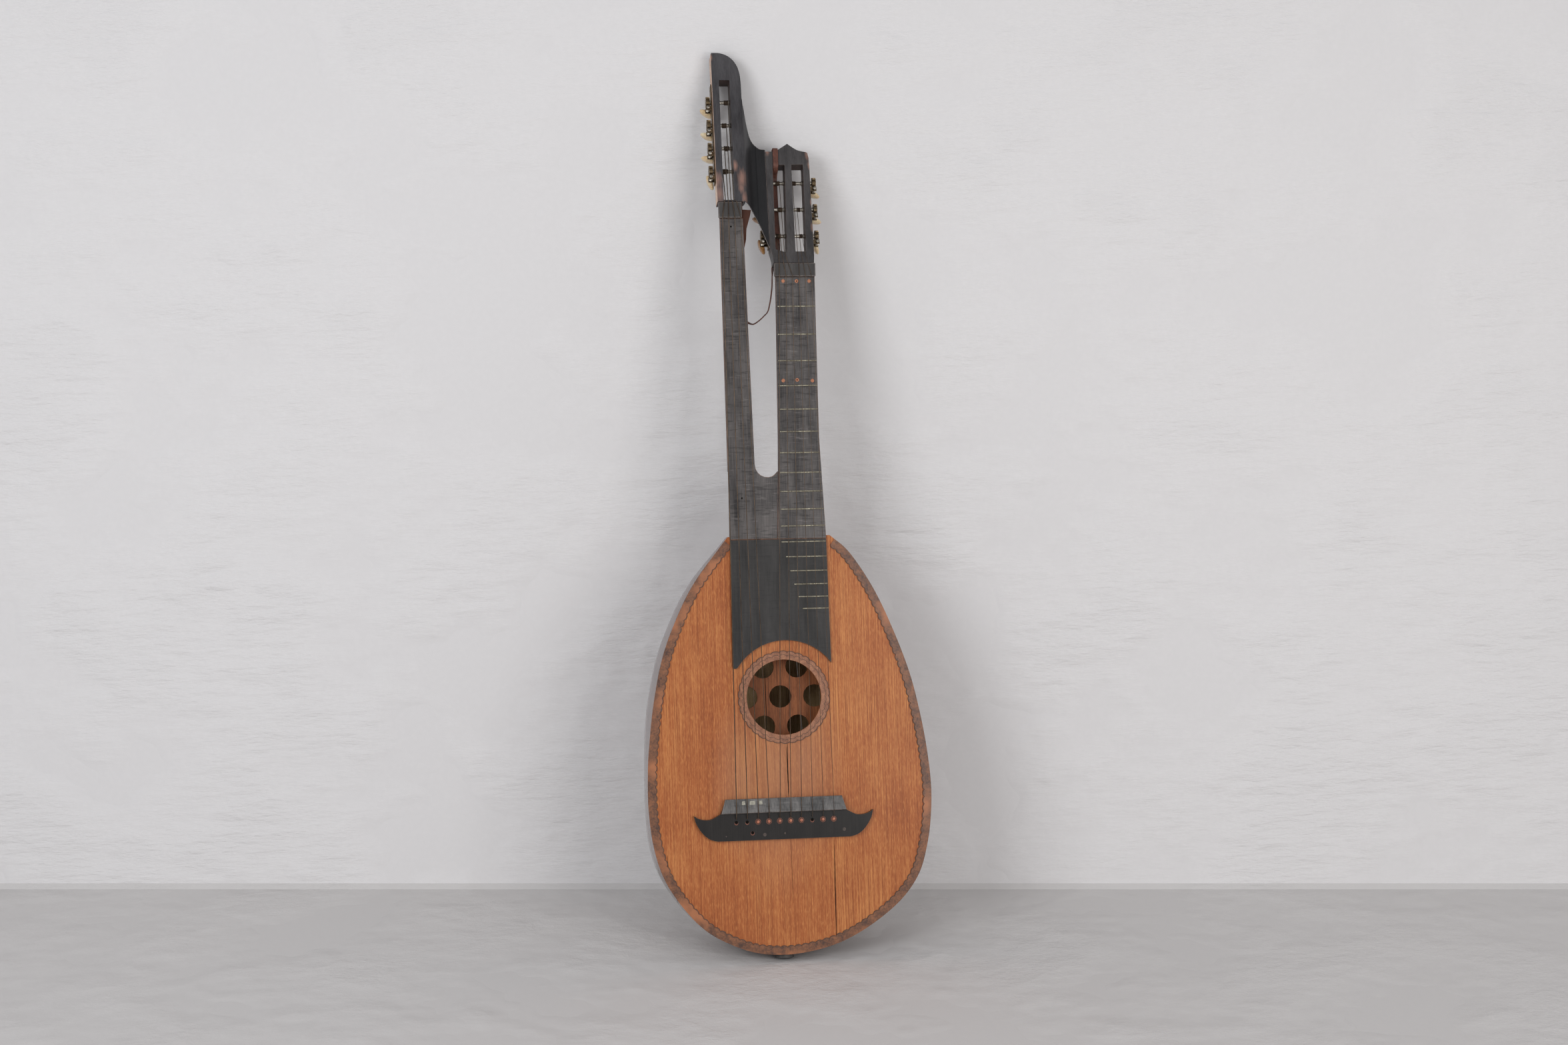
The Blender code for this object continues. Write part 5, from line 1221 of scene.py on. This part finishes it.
def build_roller(machine, number):
    head_z, side, worm_x = MACHINES[machine]
    z = ROLLER_HEIGHTS[machine][number]
    near, far = slot_walls(machine, z)
    body, name = f"{machine}_machine_roller_{number + 1}", f"{machine}_roller_{number + 1}"
    profile = [(worm_x + side * (COG_THICKNESS / 2 - 1), 2.5), (near - side * 0.4, 2.5)]
    profile += [(near - side * gap, radius) for gap, radius in COLLAR]
    profile += [(far + side * gap, radius) for gap, radius in reversed(COLLAR)]
    profile += [(far + side * 0.4, 2.0), (far - side * 2.6, 2.0)]
    new_piece(f"{name}_shaft", *turned(ROLLER_DEPTH, z, head_z, profile), roller_metal, body, "brass", [name])
    face = worm_x + side * (COG_THICKNESS / 2 - 1.02)
    hub = [(face + side * rise, radius) for rise, radius in ((0, 4.0), (0.7, 3.8), (0.95, 3.2), (1.0, 0.4))]
    parts = [cog(worm_x, z, head_z), turned(ROLLER_DEPTH, z, head_z, hub)]
    new_piece(f"{name}_cog", *joined(parts), brass, body, "brass", sharp=30)


for machine, heights in ROLLER_HEIGHTS.items():
    for number in range(len(heights)):
        build_roller(machine, number)
print("rollers:", sum(len(heights) for heights in ROLLER_HEIGHTS.values()))

# %% [markdown]
# The worm's thread is a loft of its small section carried round the shaft, and its ends fade into
# the shaft. The shaft is turned with a ball at its front end, and the button is a flattened drop.

# %% Worms and buttons
WORM_RADIUS, WORM_ROOT, WORM_GAP, THREAD_TURNS, WORM_SIDES = 2.5, 1.5, 8.6, 2, 20
THREAD_PITCH = math.tau * (COG_RADIUS - 0.35) / COG_TEETH
THREAD_START = ROLLER_DEPTH - 1.27 * THREAD_PITCH
THREAD_FOOT = WORM_ROOT - 0.1
THREAD_SECTION = ((0.0, THREAD_FOOT), (0.16, WORM_RADIUS), (0.38, WORM_RADIUS), (0.54, THREAD_FOOT))
JOURNAL_RADIUS, BUTTON_ROOT, BUTTON_SIDES = 1.2, 18.6, 28
JOURNAL = (  # from the thread's start, radius
    (-5.2, 0.5), (-5.1, 1.2), (-4.7, 1.8), (-4.0, 2.2), (-3.3, 2.1), (-2.7, 1.6), (-2.5, JOURNAL_RADIUS),
    (-0.4, JOURNAL_RADIUS), (-0.3, WORM_ROOT),
)
BUTTON_LENGTH, BUTTON_WIDTH, BUTTON_THICKNESS = 12.5, 9.5, 3.0
BUTTON_SHAPE = (  # shares of its length, width and thickness
    (0, 0.24, 0.62), (0.04, 0.4, 0.72), (0.12, 0.64, 0.84), (0.25, 0.86, 0.96), (0.42, 0.985, 1.0),
    (0.58, 0.985, 1.0), (0.75, 0.88, 0.94), (0.88, 0.7, 0.8), (0.96, 0.5, 0.6), (1, 0.3, 0.34),
)


def worm_screw(x, z, head_z):
    """The shaft with its ball and journals, and the thread."""
    end = THREAD_START + (THREAD_TURNS + THREAD_SECTION[-1][0]) * THREAD_PITCH
    profile = [(THREAD_START + y, radius) for y, radius in JOURNAL]
    profile += [(end + 0.3, WORM_ROOT), (BUTTON_ROOT, WORM_ROOT)]
    shaft = loft([[on_head(x + b, y, z + a, head_z) for a, b in circle(radius, WORM_SIDES)]
                  for y, radius in profile])
    sections = []
    steps = WORM_SIDES * THREAD_TURNS
    for k in range(steps + 1):
        angle = math.tau * k / WORM_SIDES
        fade = min(1, k / 6, (steps - k) / 6)
        section = []
        for share, radius in THREAD_SECTION:
            reach = THREAD_FOOT + (radius - THREAD_FOOT) * fade
            along = THREAD_START + (share + k / WORM_SIDES) * THREAD_PITCH
            section.append(on_head(x + reach * math.sin(angle), along, z + reach * math.cos(angle), head_z))
        sections.append(section)
    return joined([shaft, loft(sections)])


def worm_button(x, z, head_z, turn):
    """A flat oval button, turned round the shaft by an angle."""
    rings = []
    for share, wide, thick in BUTTON_SHAPE:
        ring = []
        for thickness, width in circle(1, BUTTON_SIDES):
            a, b = wide * BUTTON_WIDTH * width, thick * BUTTON_THICKNESS * thickness
            across = a * math.cos(turn) + b * math.sin(turn)
            up = b * math.cos(turn) - a * math.sin(turn)
            ring.append(on_head(x + across, BUTTON_ROOT + 0.6 + share * BUTTON_LENGTH, z + up, head_z))
        rings.append(ring)
    return loft(rings)


def build_worm(machine, number):
    head_z, _, worm_x = MACHINES[machine]
    z = ROLLER_HEIGHTS[machine][number] - WORM_GAP
    body, name = f"{machine}_machine_worm_{number + 1}", f"{machine}_worm_{number + 1}"
    new_piece(f"{name}_screw", *worm_screw(worm_x, z, head_z), roller_metal, body, "brass", [name], 50)
    turn = math.radians(70 if number == 0 else 8 * (number + 1))
    finish = amber if machine == "left" and number < 2 else bone
    new_piece(f"{name}_button", *worm_button(worm_x, z, head_z, turn), finish, body, "brass", sharp=60)


for machine, heights in ROLLER_HEIGHTS.items():
    for number in range(len(heights)):
        build_worm(machine, number)

# %% [markdown]
# Some turns of each string lie round its roller. They are a tight helix that turns with the roller,
# and they run from the string towards the middle of the slot.

# %% Turns on the rollers
TURN_STEPS, TURN_START, TURN_PITCH = 14, math.radians(70), 2.02


def helix(x, z, head_z, radius, wire, turns, direction):
    points = []
    for k in range(round(turns * TURN_STEPS) + 1):
        angle = math.tau * k / TURN_STEPS + TURN_START
        points.append(on_head(x + direction * k / TURN_STEPS * wire * TURN_PITCH,
                              ROLLER_DEPTH + radius * math.cos(angle), z + radius * math.sin(angle), head_z))
    return tube(points, wire, 6)


for name, _, slot_x, radius, machine, number in STRINGS:
    z = ROLLER_HEIGHTS[machine][number]
    direction = 1 if slot_x < sum(slot_walls(machine, z)) / 2 else -1
    turns = 4.5 if machine == "bass" else 6
    reach = SPINDLE_RADIUS + radius - 0.05
    windings = helix(slot_x, z, MACHINES[machine][0], reach, radius, turns, direction)
    new_piece(f"{name}_turns", *windings, string_metal, f"{machine}_machine_roller_{number + 1}", "string",
              sharp=70)
print("windings:", len(STRINGS))

# %% [markdown]
# ## Strap and small trim
#
# A worn leather strap hangs over the fretted head, goes down behind the rollers and crosses the fork
# to the bass neck. Its section is a flat oblong with rounded corners, carried along a smooth path.
# Each place of the path says which way the strap's width lies.

# %% Leather strap
STRAP_HALF_WIDTH, STRAP_HALF_THICKNESS, STRAP_SIDES = 3.2, 0.7, 16
STRAP_OFF = STRAP_HALF_THICKNESS + CLEAR
HEAD_BACK = HEAD_THICKNESS + STRAP_OFF
HEAD_PEAK = 141.4 + STRAP_OFF
BEHIND_ROLLERS = ROLLER_DEPTH + ROLLER_RADIUS + STRAP_OFF
NECK_BACK = 19.5 + STRAP_OFF
STRAP_ON_HEAD = [
    (10.2, HEAD_BACK, 112), (10.2, HEAD_BACK, 128), (10.3, HEAD_BACK, 138),
    (10.3, HEAD_BACK - 1.2, HEAD_PEAK), (10.3, 9, HEAD_PEAK), (10.3, 0.2, HEAD_PEAK),
    (10.3, -STRAP_OFF, 138.4), (10.2, -STRAP_OFF, 130), (10.1, -STRAP_OFF, 121.4), (10.0, 4, 116.6),
    (9.9, 11, 114), (9.9, BEHIND_ROLLERS - 0.8, 110), (9.9, BEHIND_ROLLERS, 103),
    (9.8, BEHIND_ROLLERS, 70), (9.6, BEHIND_ROLLERS, 38), (9.5, BEHIND_ROLLERS + 0.6, 27),
    (9.4, HEAD_BACK + 2.5, 16),
]
STRAP_ROUND_NECKS = [
    ((7.6, 3.8, 511), (0.9, 0.3, 0)), ((3.4, -1.0, 501), (0.5, 0.8, 0)), ((1.6, -7.0, 490), (0.1, 1, 0)),
    ((0.8, -8.0, 477), (0, 1, 0)), ((-1.5, -8.0, 462), (0, 1, 0)), ((-4.6, -7.5, 450), (0, 1, 0)),
    ((-9.2, -6.5, 444.5), (0, 1, 0)), ((-15.4, -5.0, 439), (0, 1, 0.1)),
    ((-21.4, -3.0, 435.6), (0, 1, 0.2)), ((-26.5, -0.6, 437), (0, 0.9, 0.4)),
    ((-32.0, 2.2, 439.5), (0.2, 0.5, 0.8)), ((-39.0, 3.0, 441), (0, 0, 1)), ((-47.0, 3.0, 442), (0, 0, 1)),
]
places = [(on_head(*p, FRETTED_HEAD_Z) / MM, (1, 0, 0)) for p in STRAP_ON_HEAD]
places += [(at(x, NECK_BACK + y, z) / MM, width) for (x, y, z), width in STRAP_ROUND_NECKS]
path = smooth_through([point for point, _ in places], 6)
widths = smooth_through([width for _, width in places], 6)
section = []
for i in range(STRAP_SIDES):
    angle = math.tau * (i + 0.5) / STRAP_SIDES
    wide, thick = math.cos(angle), math.sin(angle)
    section.append((math.copysign(abs(wide) ** 0.45, wide) * STRAP_HALF_WIDTH,
                    math.copysign(abs(thick) ** 0.7, thick) * STRAP_HALF_THICKNESS))
rings = []
for i, point in enumerate(path):
    along = Vector(path[min(i + 1, len(path) - 1)] - path[max(i - 1, 0)]).normalized()
    wide = Vector(widths[i])
    wide = (wide - along * wide.dot(along)).normalized()
    thick = along.cross(wide)
    rings.append([(Vector(point) + wide * a + thick * b) * MM for a, b in section])
new_piece("strap_stitched", *loft(rings), leather, slot="leather", replaces=["leather_strap"], sharp=50)
print("strap rings:", len(rings))

# %% [markdown]
# Small round screws hold the plates: one near each end, and one between every two rollers. Three
# slips of pale wood lift the saddle's strings.

# %% Screws
PLATE_FACE = {"bass": -63.4, "left": -2.5, "right": 51.2}
SCREW_DEPTH, SCREW_RADIUS = 13.0, 1.5
SCREW_HEAD = ((0, 1), (0.3, 1), (0.6, 0.7), (0.7, 0.1))  # height, share of the radius
for machine, (head_z, side, _) in MACHINES.items():
    heights = ROLLER_HEIGHTS[machine]
    spots = [heights[0] - WORM_GAP - 5.2, heights[-1] + 16]
    spots += [(low + high) / 2 + 3.4 for low, high in zip(heights, heights[1:])]
    profile = [(PLATE_FACE[machine] + side * rise, SCREW_RADIUS * share) for rise, share in SCREW_HEAD]
    screws = [turned(SCREW_DEPTH, z, head_z, profile, 14) for z in spots]
    new_piece(f"{machine}_plate_screws", *joined(screws), roller_metal, slot="brass")
print("screws in the last plate:", len(screws))

# %% Shims
SHIMS = [(-51.0, 4.2), (-40.9, 7.0), (-31.4, 4.4)]
SHIM_Z, SHIM_THICKNESS, SHIM_SUNK = -119.2, 0.5, 0.3
SADDLE_SLOPE = [(-129.3, 9.0), (-114.6, 6.2)]
shims = []
for x, width in SHIMS:
    corners = [(x - width / 2, SHIM_Z - 2.2), (x + width / 2, SHIM_Z - 2.0),
               (x + width / 2 - 0.3, SHIM_Z + 2.1), (x - width / 2 + 0.4, SHIM_Z + 2.0)]
    shims.append(loft([[at(a, -between(SADDLE_SLOPE, b) - rise, b) for a, b in corners]
                       for rise in (SHIM_THICKNESS, -SHIM_SUNK)]))
new_piece("saddle_shims", *joined(shims), pale_shim, slot="saddle")
print("shims:", len(shims))

# %% [markdown]
# ## Room
#
# The lute leans back against a white plaster wall, so in its own upright frame it is the room that
# is tilted. The camera looked down by nine degrees: that gives the room's up, and the floor and the
# wall are then moved until they just touch the lute. Wall and floor are one-sided, so a camera
# behind them sees through.

# %% Stage
CAMERA_PITCH = math.radians(9.1)
ROOM, WALL_HEIGHT = 6.0, 5
room_up = (camera_up * math.cos(CAMERA_PITCH) + camera_back * math.sin(CAMERA_PITCH)).normalized()
into_wall = -(camera_back - room_up * camera_back.dot(room_up)).normalized()
corners = np.concatenate([np.array([v.co for v in solid.data.vertices]) for solid in frame["nodes"].values()])
floor_height = float((corners @ np.array(room_up)).min()) - 0.0002
wall_distance = float((corners @ np.array(into_wall)).max()) + 0.001


def in_room(side, depth, height):
    """A place in the room: metres to the right, in front of the wall, and above the floor."""
    return camera_right * side + into_wall * (wall_distance - depth) + room_up * (floor_height + height)


def plaster(name, colour, contrast):
    """Brushed plaster in soft patches, which is see-through from behind."""
    made, tree, shader = new_finish(name, 0.9, specular=0.1)
    strokes = stretched_noise(tree, (9, 9, 42), 8.0, 0.62, (0, math.radians(20), 0))
    patches = level_ramp(tree, stretched_noise(tree, (5, 5, 6)), 0.42, 0.62)
    tone = weighed(tree, (patches, 0.5), (stretched_noise(tree, even(160)), 0.5))
    coloured(tree, shader, ramp(tree, tone, [(0.2, tuple(c * contrast for c in colour)), (0.7, colour)]))
    bumped(tree, shader, maths(tree, "MULTIPLY", strokes, patches), 0.01, 0.8)
    clear = tree.nodes.new("ShaderNodeBsdfTransparent")
    mix = tree.nodes.new("ShaderNodeMixShader")
    sides = (node(tree, "ShaderNodeNewGeometry").outputs["Backfacing"], shader.outputs[0], clear.outputs[0])
    for index, value in enumerate(sides):
        fill(tree, mix.inputs[index], value)
    fill(tree, tree.nodes["Material Output"].inputs["Surface"], mix.outputs[0])
    return made


wall_paint = plaster("wall_paint", (0.82, 0.805, 0.805), 0.95)
floor_paint = plaster("floor_paint", (0.66, 0.642, 0.632), 0.97)
STAGE = {  # depth and height of one edge and of the opposite one, and the paint
    "stage_wall": ((0, 0), (0, WALL_HEIGHT), wall_paint),
    "stage_floor": ((ROOM, 0), (0, 0), floor_paint),
    "stage_joint": ((0.007, 0.0004), (0.0004, 0.006), floor_paint),
}
for name, (near, far, paint) in STAGE.items():
    mesh = bpy.data.meshes.new(name)
    places = [(-ROOM, *near), (ROOM, *near), (ROOM, *far), (-ROOM, *far)]
    mesh.from_pydata([in_room(*p) for p in places], [], [(0, 1, 2, 3)])
    mesh.materials.append(paint)
    surface = bpy.data.objects.new(name, mesh)
    bpy.context.scene.collection.objects.link(surface)
print("the lute leans back", round(math.degrees(math.acos(room_up.z)), 1), "degrees")

# %% [markdown]
# ## Light
#
# Two large soft lamps stand in front of the lute, one to each side, the left one a little higher.
# The world fills the shadows with an even pale light.

# %% Lamps and world
LAMP_SIZE, LAMP_TARGET = 1.1, (0, 0.1, 0.4)
LAMPS = [  # name, place in the room, power, colour
    ("key_lamp", (1.3, 2.3, 0.95), 18.6, (1.0, 0.985, 0.965)),
    ("left_lamp", (-1.35, 2.2, 1.25), 20.5, (0.96, 0.98, 1.0)),
]
for name, spot, power, colour in LAMPS:
    lamp = bpy.data.lights.new(name, "AREA")
    lamp.shape = "RECTANGLE"
    lamp.size = lamp.size_y = LAMP_SIZE
    lamp.energy = power
    lamp.color = colour
    stand = bpy.data.objects.new(name, lamp)
    stand.location = in_room(*spot)
    stand.rotation_euler = (in_room(*LAMP_TARGET) - stand.location).to_track_quat("-Z", "Y").to_euler()
    bpy.context.scene.collection.objects.link(stand)

world = bpy.data.worlds.new("room")
bpy.context.scene.world = world
world.use_nodes = True
background = world.node_tree.nodes["Background"]
background.inputs["Color"].default_value = (0.96, 0.965, 1.0, 1)
background.inputs["Strength"].default_value = 0.42
bpy.context.scene.view_settings.view_transform = "Standard"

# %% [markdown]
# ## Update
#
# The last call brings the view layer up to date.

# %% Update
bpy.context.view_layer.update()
